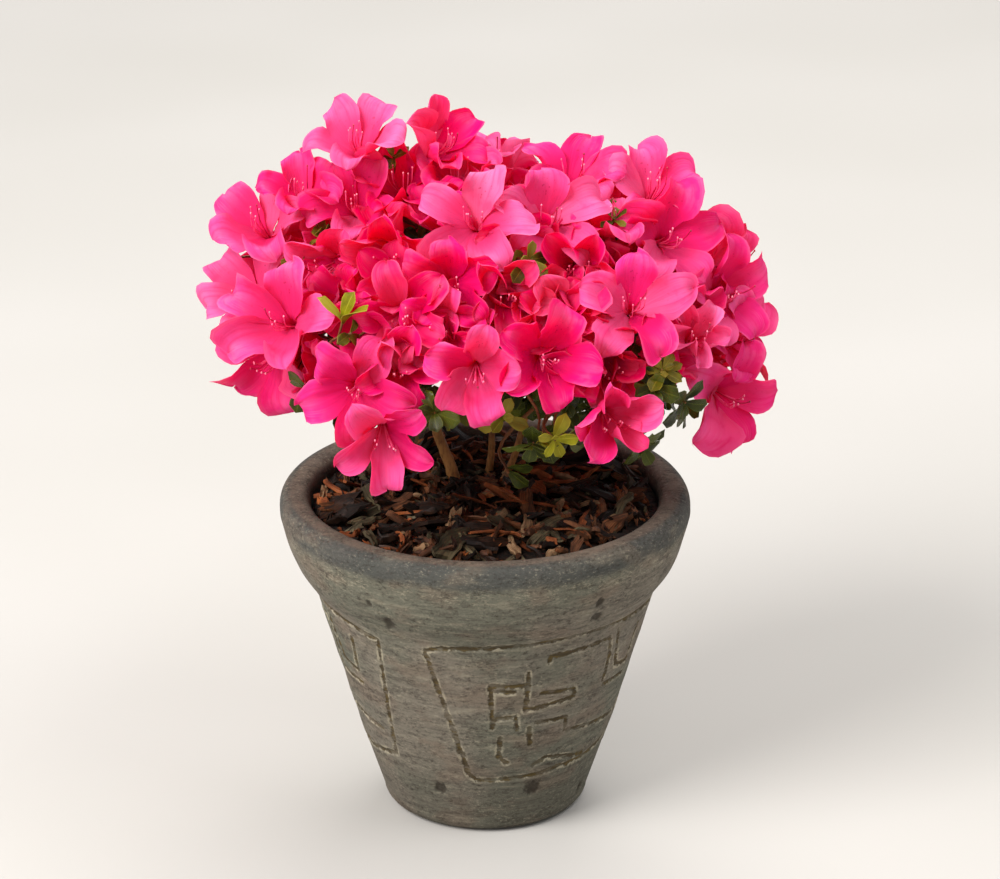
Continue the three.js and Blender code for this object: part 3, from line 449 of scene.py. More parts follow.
def evenly(i: int, count: int) -> tuple[float, float]:
    """Gives the bearing and lift of the i-th of a number of directions spread over the crown.

    Args:
        i: Which of the directions.
        count: How many there are.

    Returns:
        The bearing and the lift.
    """
    lowest = math.sin(math.radians(FOOT_LIFT_SIDES - FOOT_LIFT_TILT))
    share = 1 + (lowest - 1) * (i + 0.5) / count
    return (i * GOLDEN_ANGLE) % 360, math.degrees(math.asin(share))


def sight_lines(face: Point) -> tuple[Point, Point]:
    """Gives the directions up and to the right of something that faces a way, as seen from before it."""
    up = unit(np.array([0.0, 0.0, 1.0]) - face * face[2])
    return up, np.cross(up, face)


def compost_top(radius: float) -> float:
    """Gives the height of the compost's smooth top at a radius from the pot's axis."""
    share = radius / inner_radius(COMPOST_EDGE)
    return COMPOST_EDGE + COMPOST_MOUND * (1 - share * share)


def inner_radius(height: float) -> float:
    """Gives the radius of the pot's inner wall at a height.

    Args:
        height: The height.

    Returns:
        The radius.
    """
    share = (height - FLOOR_THICKNESS) / (POT_HEIGHT - LIP_RISE - FLOOR_THICKNESS)
    share = min(max(share, 0.0), 1.0)
    return INNER_FLOOR_RADIUS + (RIM_RADIUS - LIP_WIDTH - INNER_FLOOR_RADIUS) * share


def flowing(points: Sequence[Point], places: np.ndarray) -> np.ndarray:
    """Follows a smooth curve through points.

    Args:
        points: The points, evenly spread in the curve's own measure.
        places: Where along the curve to read it, from 0 to 1.

    Returns:
        A row for each place.
    """
    rows = np.array(points, float)
    rows = rows[:, None] if rows.ndim == 1 else rows
    ends = np.vstack([2 * rows[0] - rows[1], rows, 2 * rows[-1] - rows[-2]])
    where = np.clip(places, 0, 1) * (len(rows) - 1)
    i = np.minimum(where.astype(int), len(rows) - 2)
    t = (where - i)[:, None]
    a, b, c, d = ends[i], ends[i + 1], ends[i + 2], ends[i + 3]
    return 0.5 * (2 * b + (c - a) * t + (2 * a - 5 * b + 4 * c - d) * t**2 + (3 * b - a - 3 * c + d) * t**3)


@dataclass
class Bloom:
    """One bloom of the plan: where its mouth is, which way it faces, and how it is made."""

    at: Point
    face: Point
    spin: float
    width: float
    tint: Tint
    habit: Habit
    flare: float = 67.0
    mass: int = 0
    way: Point = field(default_factory=lambda: np.zeros(3))
    seat: Point = field(default_factory=lambda: np.zeros(3))

    @property
    def base(self) -> Point:
        """The point where the tube meets its stalk."""
        return self.at - self.face * TUBE


@dataclass
class Truss:
    """A fork of a mass, with the blooms that stand on it."""

    at: Point
    blooms: list[Bloom]


@dataclass
class Shoot:
    """A leafy shoot: where its leaves spring, which way it points, and the twig that bears it."""

    at: Point
    toward: Point
    line: list[Point]
    kind: LeafKind


@dataclass
class Mass:
    """One mass of the crown and its forks."""

    shape: MassShape
    index: int
    root: Point = field(default_factory=lambda: np.zeros(3))
    hub: Point = field(default_factory=lambda: np.zeros(3))
    trusses: list[Truss] = field(default_factory=list)
    shoots: list[Shoot] = field(default_factory=list)


class CrownPlan:
    """The crown by the rule of the part's source: its blooms, its masses, their forks and shoots."""

    def __init__(self) -> None:
        """Works the plan out."""
        self.blooms = self._planned_blooms()
        self._share_out()
        self.seats = np.array([bloom.seat for bloom in self.blooms])
        self.owners = np.array([bloom.mass for bloom in self.blooms])
        self.masses = [Mass(shape, index) for index, shape in enumerate(MASSES)]
        for mass in self.masses:
            self._plan_mass(mass)
        self._plan_shoots()

    def _planned_blooms(self) -> list[Bloom]:
        """Gives the blooms that the picture shows, then others that fill the rest of the dome.

        Returns:
            The blooms, the shown ones first.
        """
        blooms = [
            Bloom(
                from_picture(shown.across, shown.up, shown.sink),
                heading(shown.bearing, shown.lift),
                shown.spin,
                shown.width,
                shown.tint,
                shown.habit,
            )
            for shown in SHOWN_BLOOMS
        ]
        tints = (Tint.PALE, Tint.LIGHT, Tint.LIGHT, Tint.ROSE, Tint.ROSE, Tint.RICH, Tint.RICH, Tint.DEEP)
        habits = (Habit.OPEN, Habit.OPEN, Habit.WIDE, Habit.CUPPED)
        for i in range(FILL_CANDIDATES):
            bearing, lift = evenly(i, FILL_CANDIDATES)
            if lift < foot_lift(bearing):
                continue
            dice = Dice(SEED + SEED_FILL + i)
            at = in_crown(heading(bearing, lift), dice.between(*FILL_DEPTH))
            face_bearing = bearing + dice.between(-BLOOM_TILT, BLOOM_TILT)
            face_lift = lift + BLOOM_LIFT + dice.between(-BLOOM_TILT, BLOOM_TILT)
            face = heading(face_bearing, min(max(face_lift, FACE_LIFTS[0]), FACE_LIFTS[1]))
            spin, width = dice.between(0, 360 / PETALS), dice.between(*FILL_WIDTH)
            if all(np.linalg.norm(other.at - at) > FILL_SPACING for other in blooms):
                blooms.append(Bloom(at, face, spin, width, dice.pick(tints), dice.pick(habits)))
        for i, bloom in enumerate(blooms):
            behind = bloom.at - bloom.face * SEAT_BEHIND
            bloom.way = way_to(behind)
            bloom.seat = in_crown(bloom.way, min(max(share_of(behind), SEAT_DEPTH[0]), SEAT_DEPTH[1]))
            bloom.flare = Dice(SEED + SEED_FLARE + i).between(*FLARE)
        return blooms

    def _share_out(self) -> None:
        """Shares the blooms out to the masses, each to the nearest, whose middle then moves to them."""
        middles = [heading(mass.bearing, mass.lift) for mass in MASSES]
        for _ in range(SHARING_ROUNDS):
            for bloom in self.blooms:
                bloom.mass = int(np.argmax([bloom.way @ middle for middle in middles]))
            for index, middle in enumerate(middles):
                own = [bloom.way for bloom in self.blooms if bloom.mass == index]
                middles[index] = unit(middle + np.sum(own, axis=0)) if own else middle

    def depth_in(self, index: int, point: Point) -> float:
        """Tells how far inside a mass's own space a point is.

        Args:
            index: Which mass.
            point: The point.

        Returns:
            The depth, below 0 if the point is outside.
        """
        own, others = self.seats[self.owners == index], self.seats[self.owners != index]
        near = ((own - point) ** 2).sum(1)
        far = ((others - point) ** 2).sum(1)
        apart = np.linalg.norm(own[:, None] - others[None], axis=2)
        return float(((far[None] - near[:, None]) / (2 * apart)).min(1).max())

    def hides_bloom(self, point: Point) -> bool:
        """Tells whether a point is in a bloom's funnel or would hide its face.

        Args:
            point: The point.

        Returns:
            Whether it is or would.
        """
        for bloom in self.blooms:
            offset = point - bloom.at
            forward = offset @ bloom.face
            out = np.linalg.norm(offset - bloom.face * forward)
            mouth = MOUTH * bloom.width
            if forward < 0:
                if out < mouth * (1 + forward / TUBE):
                    return True
            elif out < min(mouth + forward * math.tan(math.radians(bloom.flare)), OPEN_FACE * bloom.width):
                return True
        return False

    def owner_of(self, point: Point) -> int:
        """Gives the mass whose space a point is in."""
        return int(self.owners[np.argmin(((self.seats - point) ** 2).sum(1))])

    def keeps_inside(self, mass: Mass, start: Point, end: Point) -> bool:
        """Tells whether a straight limb keeps inside the mass's space."""
        room = TWIG_RADIUS + SPACE_MARGIN
        return all(self.depth_in(mass.index, start + (end - start) * share) > room for share in LIMB_CHECKS)

    def _plan_mass(self, mass: Mass) -> None:
        """Finds the mass's root, hub and trusses.

        Args:
            mass: The mass to plan.
        """
        own = [bloom for bloom in self.blooms if bloom.mass == mass.index]
        mean = unit(np.sum([bloom.way for bloom in own], axis=0))
        ways = [unit(mean + (bloom.way - mean) * share) for bloom in own for share in LEAN_SHARES]

        def room(way: Point) -> float:
            """Tells how much room the root and the hub have in a direction."""
            places = [in_crown(way, ROOT_DEPTH), in_crown(way, HUB_DEPTH)]
            return min(self.depth_in(mass.index, place) for place in places)

        middle = ways[int(np.argmax([room(way) for way in ways]))]
        mass.root, mass.hub = in_crown(middle, ROOT_DEPTH), in_crown(middle, HUB_DEPTH)
        up, right = sight_lines(middle)
        own.sort(key=lambda bloom: math.atan2((bloom.at - mass.hub) @ right, (bloom.at - mass.hub) @ up))
        for i in range(0, len(own), BLOOMS_PER_TRUSS):
            group = own[i : i + BLOOMS_PER_TRUSS]
            at = np.mean([bloom.base for bloom in group], axis=0)
            mass.trusses.append(Truss(at + (mass.hub - at) * (1 - TRUSS_DEPTH), group))

    def _plan_shoots(self) -> None:
        """Plans the shoots that the picture shows, a skirt round the foot, and more in wide gaps."""
        found = [
            (from_picture(shown.across, shown.up, shown.sink), heading(shown.bearing, shown.lift), shown.kind)
            for shown in SHOWN_SHOOTS
        ]
        for i in range(SKIRT_COUNT):
            dice = Dice(SEED + SEED_SKIRT + i)
            bearing = 360 * (i + dice.between(-SKIRT_SCATTER, SKIRT_SCATTER)) / SKIRT_COUNT
            lift = dice.between(*SKIRT_LIFT)
            at = in_crown(heading(bearing, lift), dice.between(*SKIRT_DEPTH))
            found.append((at, heading(bearing, lift + dice.between(*SKIRT_RISE)), LeafKind.OLD))
        for i in range(GAP_CANDIDATES):
            toward = heading(*evenly(i, GAP_CANDIDATES))
            at = in_crown(toward, GAP_DEPTH)
            free = all(np.linalg.norm(bloom.at - at) > GAP_FROM_BLOOMS for bloom in self.blooms)
            if free and all(np.linalg.norm(other[0] - at) > GAP_FROM_SHOOTS for other in found):
                found.append((at, toward, LeafKind.OLIVE))
        for at, toward, kind in found:
            self._add_shoot(self.masses[self.owner_of(at)], at, toward, kind)

    def tuft_line(self, at: Point, toward: Point) -> list[Point]:
        """Gives the line of the twig that bears a tuft, from the nearest fork to its leaves.

        Args:
            at: Where the leaves spring.
            toward: Which way they point.

        Returns:
            The line's points.
        """
        forks = [truss.at for mass in self.masses for truss in mass.trusses]
        fork = min(forks, key=lambda place: np.linalg.norm(place - at))
        return [fork, at - toward * (SHOOT_BEND * np.linalg.norm(at - fork)), at]

    def _add_shoot(self, mass: Mass, at: Point, toward: Point, kind: LeafKind) -> None:
        """Joins a shoot to the nearest fork that it reaches without leaving the mass's space.

        Args:
            mass: The mass that the shoot is in.
            at: Where its leaves spring.
            toward: Which way it points.
            kind: The age of its leaves.
        """
        forks = [mass.hub, *(truss.at for truss in mass.trusses)]
        for fork in sorted(forks, key=lambda place: np.linalg.norm(place - at)):
            bend = at - toward * (SHOOT_BEND * np.linalg.norm(at - fork))
            if self.keeps_inside(mass, fork, bend) and self.keeps_inside(mass, bend, at):
                mass.shoots.append(Shoot(at, toward, [fork, bend, at], kind))
                return


# Modelling


def start_fresh() -> None:
    """Leaves edit mode and deselects everything, so that an operator acts only on what comes next."""
    if bpy.context.mode != "OBJECT":
        bpy.ops.object.mode_set(mode="OBJECT")
    bpy.ops.object.select_all(action="DESELECT")


@contextmanager
def editing() -> Iterator[None]:
    """Opens the active mesh with all of it selected, and closes it again with its faces turned out.

    Yields:
        Nothing, while the mesh is open.
    """
    bpy.ops.object.mode_set(mode="EDIT")
    bpy.ops.mesh.select_all(action="SELECT")
    yield
    bpy.ops.mesh.select_all(action="SELECT")
    bpy.ops.mesh.normals_make_consistent(inside=False)
    bpy.ops.object.mode_set(mode="OBJECT")


def listed(items: object, name: str, width: int = 1, kind: type = float) -> np.ndarray:
    """Reads a value of each of a mesh's points, edges, corners or faces.

    Args:
        items: The points, edges, corners or faces.
        name: The value's name.
        width: How many numbers it holds.
        kind: Whether they are whole.

    Returns:
        A row for each item, or a number for each if the width is 1.
    """
    values = np.zeros(len(items) * width, kind)
    items.foreach_get(name, values)
    return values.reshape(-1, width) if width > 1 else values


def faces_of(mesh: bpy.types.Mesh) -> tuple[np.ndarray, np.ndarray]:
    """Reads which point each corner of a mesh is at, and how many corners each face has."""
    return listed(mesh.loops, "vertex_index", 1, int), listed(mesh.polygons, "loop_total", 1, int)


@dataclass(frozen=True)
class Pattern:
    """A small closed shape that is modelled once and then mapped to many places.

    Its points are coordinates for the mapping: for a sheet they run across, along and through it, and for
    a tube round and along it.
    """

    places: np.ndarray
    corners: np.ndarray
    counts: np.ndarray

    @classmethod
    def taken_from(cls, piece: Piece) -> "Pattern":
        """Reads a pattern from a modelled object, and removes the object.

        Args:
            piece: The object.

        Returns:
            Its shape.
        """
        mesh = piece.data
        corners, counts = faces_of(mesh)
        pattern = cls(listed(mesh.vertices, "co", 3), corners, counts)
        bpy.data.objects.remove(piece)
        bpy.data.meshes.remove(mesh)
        return pattern

    @classmethod
    def sheet(cls, across: int, along: int) -> "Pattern":
        """Models a flat closed sheet: -1 to 1 across, 0 to 1 along, and 0 or 1 through.

        Args:
            across: How many faces it has from side to side.
            along: How many faces it has from end to end.

        Returns:
            The pattern.
        """
        start_fresh()
        bpy.ops.mesh.primitive_grid_add(x_subdivisions=across, y_subdivisions=along, size=2)
        with editing():
            bpy.ops.mesh.duplicate()
            bpy.ops.transform.translate(value=(0, 0, 1))
            bpy.ops.mesh.select_all(action="SELECT")
            bpy.ops.mesh.select_non_manifold(extend=False, use_wire=False, use_multi_face=False)
            bpy.ops.mesh.bridge_edge_loops()
        pattern = cls.taken_from(bpy.context.object)
        pattern.places[:, 1] = (pattern.places[:, 1] + 1) / 2
        return pattern

    @classmethod
    def tube(cls, sides: int, rings: int) -> "Pattern":
        """Models a closed tube of radius 1 that runs from 0 to 1 along Z.

        Args:
            sides: How many sides it has.
            rings: How many lengths it has.

        Returns:
            The pattern.
        """
        start_fresh()
        bpy.ops.mesh.primitive_circle_add(vertices=sides, radius=1, fill_type="NGON")
        with editing():
            for _ in range(rings):
                bpy.ops.mesh.extrude_region_move(TRANSFORM_OT_translate={"value": (0, 0, 1 / rings)})
        return cls.taken_from(bpy.context.object)

    @classmethod
    def bead(cls, segments: int, rings: int) -> "Pattern":
        """Models a ball of radius 1 with few faces.

        Args:
            segments: How many faces it has round it.
            rings: How many rings of them.

        Returns:
            The pattern.
        """
        start_fresh()
        bpy.ops.mesh.primitive_uv_sphere_add(segments=segments, ring_count=rings, radius=1)
        return cls.taken_from(bpy.context.object)


@dataclass
class Gathering:
    """Many mapped copies of a pattern, joined as one piece."""

    pattern: Pattern
    copies: list[np.ndarray] = field(default_factory=list)
    tones: list[float] = field(default_factory=list)
    marks: list[float] = field(default_factory=list)

    def add(self, points: np.ndarray, tone: float = 0.5, mark: float = 0.0) -> None:
        """Adds a copy.

        Args:
            points: A row for each of the pattern's points, in millimetres.
            tone: How pale this copy is among the others, from 0 to 1.
            mark: How strongly it bears the finish's markings, from 0 to 1.
        """
        self.copies.append(points)
        self.tones.append(tone)
        self.marks.append(mark)

    def piece(self, name: str, crease: float = 60.0) -> Piece:
        """Joins the copies as a closed mesh that faces out, with maps for its grain and for a bake.

        Args:
            name: The piece's name.
            crease: The angle in degrees from which an edge is shaded sharp.

        Returns:
            The new object.
        """
        pattern, count = self.pattern, len(self.copies)
        size = len(pattern.places)
        points = np.vstack(self.copies) * MM
        corners = (pattern.corners[None] + size * np.arange(count)[:, None]).ravel()
        counts = np.tile(pattern.counts, count)
        if enclosed(points, corners[: len(pattern.corners)], pattern.counts) < 0:
            corners = turned_over(corners, counts)
        mesh = bpy.data.meshes.new(name)
        mesh.vertices.add(len(points))
        mesh.vertices.foreach_set("co", points.ravel())
        mesh.loops.add(len(corners))
        mesh.loops.foreach_set("vertex_index", corners.astype(np.int32))
        mesh.polygons.add(len(counts))
        starts = np.concatenate([[0], np.cumsum(counts)[:-1]])
        mesh.polygons.foreach_set("loop_start", starts.astype(np.int32))
        mesh.polygons.foreach_set("loop_total", counts.astype(np.int32))
        mesh.update(calc_edges=True)
        self._map(mesh, corners, counts)
        for mark, values in ((TONE_MARK, self.tones), (SPOT_MARK, self.marks)):
            each = np.repeat(np.array(values, np.float32), size)
            mesh.attributes.new(mark, "FLOAT", "POINT").data.foreach_set("value", each)
        made = bpy.data.objects.new(name, mesh)
        bpy.context.scene.collection.objects.link(made)
        shade(made, crease)
        return made

    def _map(self, mesh: bpy.types.Mesh, corners: np.ndarray, counts: np.ndarray) -> None:
        """Gives a mesh its grain map, the same on each copy, and a bake map with a cell for each side.

        Args:
            mesh: The mesh.
            corners: The point of each corner.
            counts: How many corners each face has.
        """
        places = self.pattern.places
        low, high = places.min(0), places.max(0)
        flat = (places - low) / np.maximum(high - low, 1e-9)
        copy, place = np.divmod(corners, len(places))
        grain = flat[place][:, :2]
        mesh.uv_layers.new(name=GRAIN_MAP).uv.foreach_set("vector", grain.astype(np.float32).ravel())
        face = np.repeat(np.arange(len(counts)), counts)
        upper = (np.bincount(face, flat[place][:, 2]) / counts > 0.25)[face]
        cells = math.ceil(math.sqrt(2 * len(self.copies)))
        row, column = np.divmod(2 * copy + upper, cells)
        spread = BAKE_MARGIN + (1 - 2 * BAKE_MARGIN) * grain
        baked = (np.stack([column, row], 1) + spread) / cells
        mesh.uv_layers.new(name=BAKE_MAP).uv.foreach_set("vector", baked.astype(np.float32).ravel())


def shade(piece: Piece, crease: float) -> None:
    """Shades a piece smooth, apart from edges that turn by more than an angle in degrees.

    Args:
        piece: The shape.
        crease: The angle, in degrees.
    """
    start_fresh()
    piece.select_set(True)
    bpy.context.view_layer.objects.active = piece
    bpy.ops.object.shade_smooth_by_angle(angle=math.radians(crease))
    piece.select_set(False)


def enclosed(points: np.ndarray, corners: np.ndarray, counts: np.ndarray) -> float:
    """Gives six times the volume that faces enclose, which is negative if they face in.

    Args:
        points: The points.
        corners: The point of each corner.
        counts: How many corners each face has.

    Returns:
        The volume's sixfold.
    """
    total, start = 0.0, 0
    middle = points[corners].mean(0)
    for count in counts:
        face = points[corners[start : start + count]] - middle
        for k in range(1, count - 1):
            total += float(np.dot(face[0], np.cross(face[k], face[k + 1])))
        start += count
    return total


def turned_over(corners: np.ndarray, counts: np.ndarray) -> np.ndarray:
    """Turns each face to its other side by running its corners backwards.

    Args:
        corners: The point at each corner.
        counts: How many corners each face has.

    Returns:
        The point at each corner, face by face, the other way round.
    """
    starts = np.concatenate([[0], np.cumsum(counts)[:-1]])
    first, many = np.repeat(starts, counts), np.repeat(counts, counts)
    return corners[2 * first + many - 1 - np.arange(len(corners))]


def swept(pattern: Pattern, line: Sequence[Point], radii: Sequence[float], relief: float = 0.0) -> np.ndarray:
    """Maps a tube to a smooth line.

    Args:
        pattern: The tube.
        line: The points that it follows, in millimetres.
        radii: Its radius at places spread evenly along it.
        relief: How rough its bark is, as a share of the radius.

    Returns:
        The tube's points.
    """
    along = pattern.places[:, 2]
    steps, ring = np.unique(np.round(along, 5), return_inverse=True)
    middles = flowing(line, steps)
    ways = np.gradient(middles, axis=0)
    ways /= np.linalg.norm(ways, axis=1)[:, None]
    sides = np.zeros_like(middles)
    side = np.cross(ways[0], [0.31, 0.95, 0.05])
    for i, way in enumerate(ways):
        side = unit(side - way * (side @ way))
        sides[i] = side
    others = np.cross(ways, sides)
    radius = np.interp(along, np.linspace(0, 1, len(radii)), radii)
    turn = np.arctan2(pattern.places[:, 1], pattern.places[:, 0])
    length = along * np.linalg.norm(np.diff(middles, axis=0), axis=1).sum()
    ridges = np.sin(3 * turn + length / 4.1) + 0.7 * np.sin(5 * turn - length / 2.3)
    ridges += 0.8 * np.sin(length / 1.7 + 2 * np.cos(turn)) + 0.5 * np.sin(length / 0.8 - turn)
    radius = radius * (1 + relief * ridges)
    round_x, round_y = pattern.places[:, 0] * radius, pattern.places[:, 1] * radius
    return middles[ring] + sides[ring] * round_x[:, None] + others[ring] * round_y[:, None]


# Materials


class Recipe:
    """One material, built up from short steps in its node tree."""

    def __init__(self, name: str) -> None:
        """Starts an empty material.

        Args:
            name: Its name.
        """
        self.material = bpy.data.materials.new(name)
        self.material.use_nodes = True
        self.tree = self.material.node_tree
        self.tree.nodes.clear()
        self.place = self.node("ShaderNodeTexCoord").outputs["Object"]

    def node(self, kind: str, **settings: object) -> bpy.types.Node:
        """Adds a node.

        Args:
            kind: The node's type.
            **settings: What to set on it.

        Returns:
            The node.
        """
        made = self.tree.nodes.new(kind)
        for name, value in settings.items():
            setattr(made, name, value)
        return made

    def feed(self, socket: Socket, value: object) -> None:
        """Links an input to another node's output, or sets it to a number or colour.

        Args:
            socket: The input.
            value: The output, number or colour.
        """
        if isinstance(value, Socket):
            self.tree.links.new(value, socket)
        else:
            socket.default_value = value

    def mapped(self, name: str) -> Socket:
        """Gives the coordinates of one of the piece's own maps."""
        return self.node("ShaderNodeUVMap", uv_map=name).outputs["UV"]

    def marked(self, name: str) -> Socket:
        """Gives a number that the piece's own points carry."""
        return self.node("ShaderNodeAttribute", attribute_name=name).outputs["Fac"]

    def stretched(self, place: Socket, scale: Sequence[float]) -> Socket:
        """Stretches coordinates by a scale for each direction.

        Args:
            place: The coordinates.
            scale: The scale for each direction.

        Returns:
            The stretched coordinates.
        """
        mapping = self.node("ShaderNodeMapping")
        self.feed(mapping.inputs["Vector"], place)
        mapping.inputs["Scale"].default_value = tuple(scale)
        return mapping.outputs["Vector"]

    def noise(
        self, scale: float, detail: float = 3.0, place: Socket | None = None, rough: float = 0.55
    ) -> Socket:
        """Adds cloudy noise.

        Args:
            scale: How many features it has to a metre, or to a map's width.
            detail: How many finer layers it has.
            place: The coordinates that it reads, the piece's own if left out.
            rough: How strong the finer layers are.

        Returns:
            The noise, from 0 to 1.
        """
        made = self.node("ShaderNodeTexNoise")
        self.feed(made.inputs["Vector"], place or self.place)
        made.inputs["Scale"].default_value = scale
        made.inputs["Detail"].default_value = detail
        made.inputs["Roughness"].default_value = rough
        return made.outputs["Fac"]

    def ranged(
        self, value: Socket, low: float, high: float, to_low: float = 0.0, to_high: float = 1.0
    ) -> Socket:
        """Spreads a range of values to another, held at both ends.

        Args:
            value: The value.
            low: Where its range starts.
            high: Where it ends.
            to_low: What its start becomes.
            to_high: What its end becomes.

        Returns:
            The new value.
        """
        made = self.node("ShaderNodeMapRange", interpolation_type="SMOOTHSTEP")
        self.feed(made.inputs["Value"], value)
        for name, number in (("From Min", low), ("From Max", high), ("To Min", to_low), ("To Max", to_high)):
            made.inputs[name].default_value = number
        return made.outputs["Result"]

    def sums(self, operation: str, first: object, second: object = 0.0) -> Socket:
        """Works a sum out of one or two numbers.

        Args:
            operation: The sum's name.
            first: The first number.
            second: The second, if any.

        Returns:
            The result.
        """
        made = self.node("ShaderNodeMath", operation=operation)
        self.feed(made.inputs[0], first)
        self.feed(made.inputs[1], second)
        return made.outputs[0]

    def times(self, first: object, second: object) -> Socket:
        """Multiplies two numbers."""
        return self.sums("MULTIPLY", first, second)

    def parts(self, vector: Socket) -> tuple[Socket, ...]:
        """Takes a vector apart.

        Args:
            vector: The vector.

        Returns:
            Its three numbers.
        """
        made = self.node("ShaderNodeSeparateXYZ")
        self.feed(made.inputs[0], vector)
        return tuple(made.outputs)

    def ramp(self, value: Socket, stops: Iterable[tuple[float, Colour]]) -> Socket:
        """Turns a number into a colour by a row of stops.

        Args:
            value: The number, from 0 to 1.
            stops: The place and colour of each stop.

        Returns:
            The colour.
        """
        made = self.node("ShaderNodeValToRGB")
        self.feed(made.inputs["Fac"], value)
        elements = made.color_ramp.elements
        stops = list(stops)
        while len(elements) < len(stops):
            elements.new(0.5)
        for element, (position, colour) in zip(elements, stops):
            element.position, element.color = position, colour
        return made.outputs["Color"]

    def mix(self, share: object, first: object, second: object, blend: str = "MIX") -> Socket:
        """Mixes two colours.

        Args:
            share: How much of the second, from 0 to 1.
            first: The first colour.
            second: The second colour.
            blend: How the second is laid on the first.

        Returns:
            The mixed colour.
        """
        made = self.node("ShaderNodeMix", data_type="RGBA", blend_type=blend, clamp_result=True)
        self.feed(made.inputs[0], share)
        self.feed(made.inputs[6], first)
        self.feed(made.inputs[7], second)
        return made.outputs[2]

    def stain(
        self, base: object, colour: object, value: Socket, low: float, high: float, *shares: float
    ) -> Socket:
        """Stains a base where a value runs from a low number to a high one.

        Args:
            base: The colour under the stain.
            colour: The stain's colour.
            value: The value.
            low: Where the stain starts to change.
            high: Where it ends.
            *shares: How strong the stain is at the low number and at the high one, 0 and 1 if left out.

        Returns:
            The stained colour.
        """
        return self.mix(self.ranged(value, low, high, *shares), base, colour)

    def bump(self, height: Socket, depth: float, strength: float = 1.0) -> Socket:
        """Turns a height from 0 to 1 into relief of a depth in millimetres.

        Args:
            height: The height.
            depth: The depth.
            strength: How much of the relief shows.

        Returns:
            The surface's direction.
        """
        made = self.node("ShaderNodeBump")
        made.inputs["Strength"].default_value = strength
        made.inputs["Distance"].default_value = depth * MM
        self.feed(made.inputs["Height"], height)
        return made.outputs["Normal"]

    def finish(
        self,
        colour: object,
        roughness: object,
        relief: Socket | None = None,
        glow: float = 0.0,
        through: object = None,
        **sockets: float,
    ) -> bpy.types.Material:
        """Ends the material with its surface shader.

        Args:
            colour: The colour.
            roughness: The roughness.
            relief: The relief, if it has any.
            glow: How much light passes through from behind, from 0 to 1.
            through: The colour that this light takes, the surface's own if left out.
            **sockets: Other inputs of the surface shader, with _ for a space.

        Returns:
            The material.
        """
        shader = self.node("ShaderNodeBsdfPrincipled")
        self.feed(shader.inputs["Base Color"], colour)
        self.feed(shader.inputs["Roughness"], roughness)
        if relief is not None:
            self.feed(shader.inputs["Normal"], relief)
        for name, value in sockets.items():
            shader.inputs[name.replace("_", " ")].default_value = value
        surface = shader.outputs[0]
        if glow > 0:
            behind = self.node("ShaderNodeBsdfTranslucent")
            self.feed(behind.inputs["Color"], through or colour)
            blend = self.node("ShaderNodeMixShader")
            blend.inputs["Fac"].default_value = glow
            self.feed(blend.inputs[1], surface)
            self.feed(blend.inputs[2], behind.outputs[0])
            surface = blend.outputs[0]
        output = self.node("ShaderNodeOutputMaterial")
        self.feed(output.inputs["Surface"], surface)
        return self.material


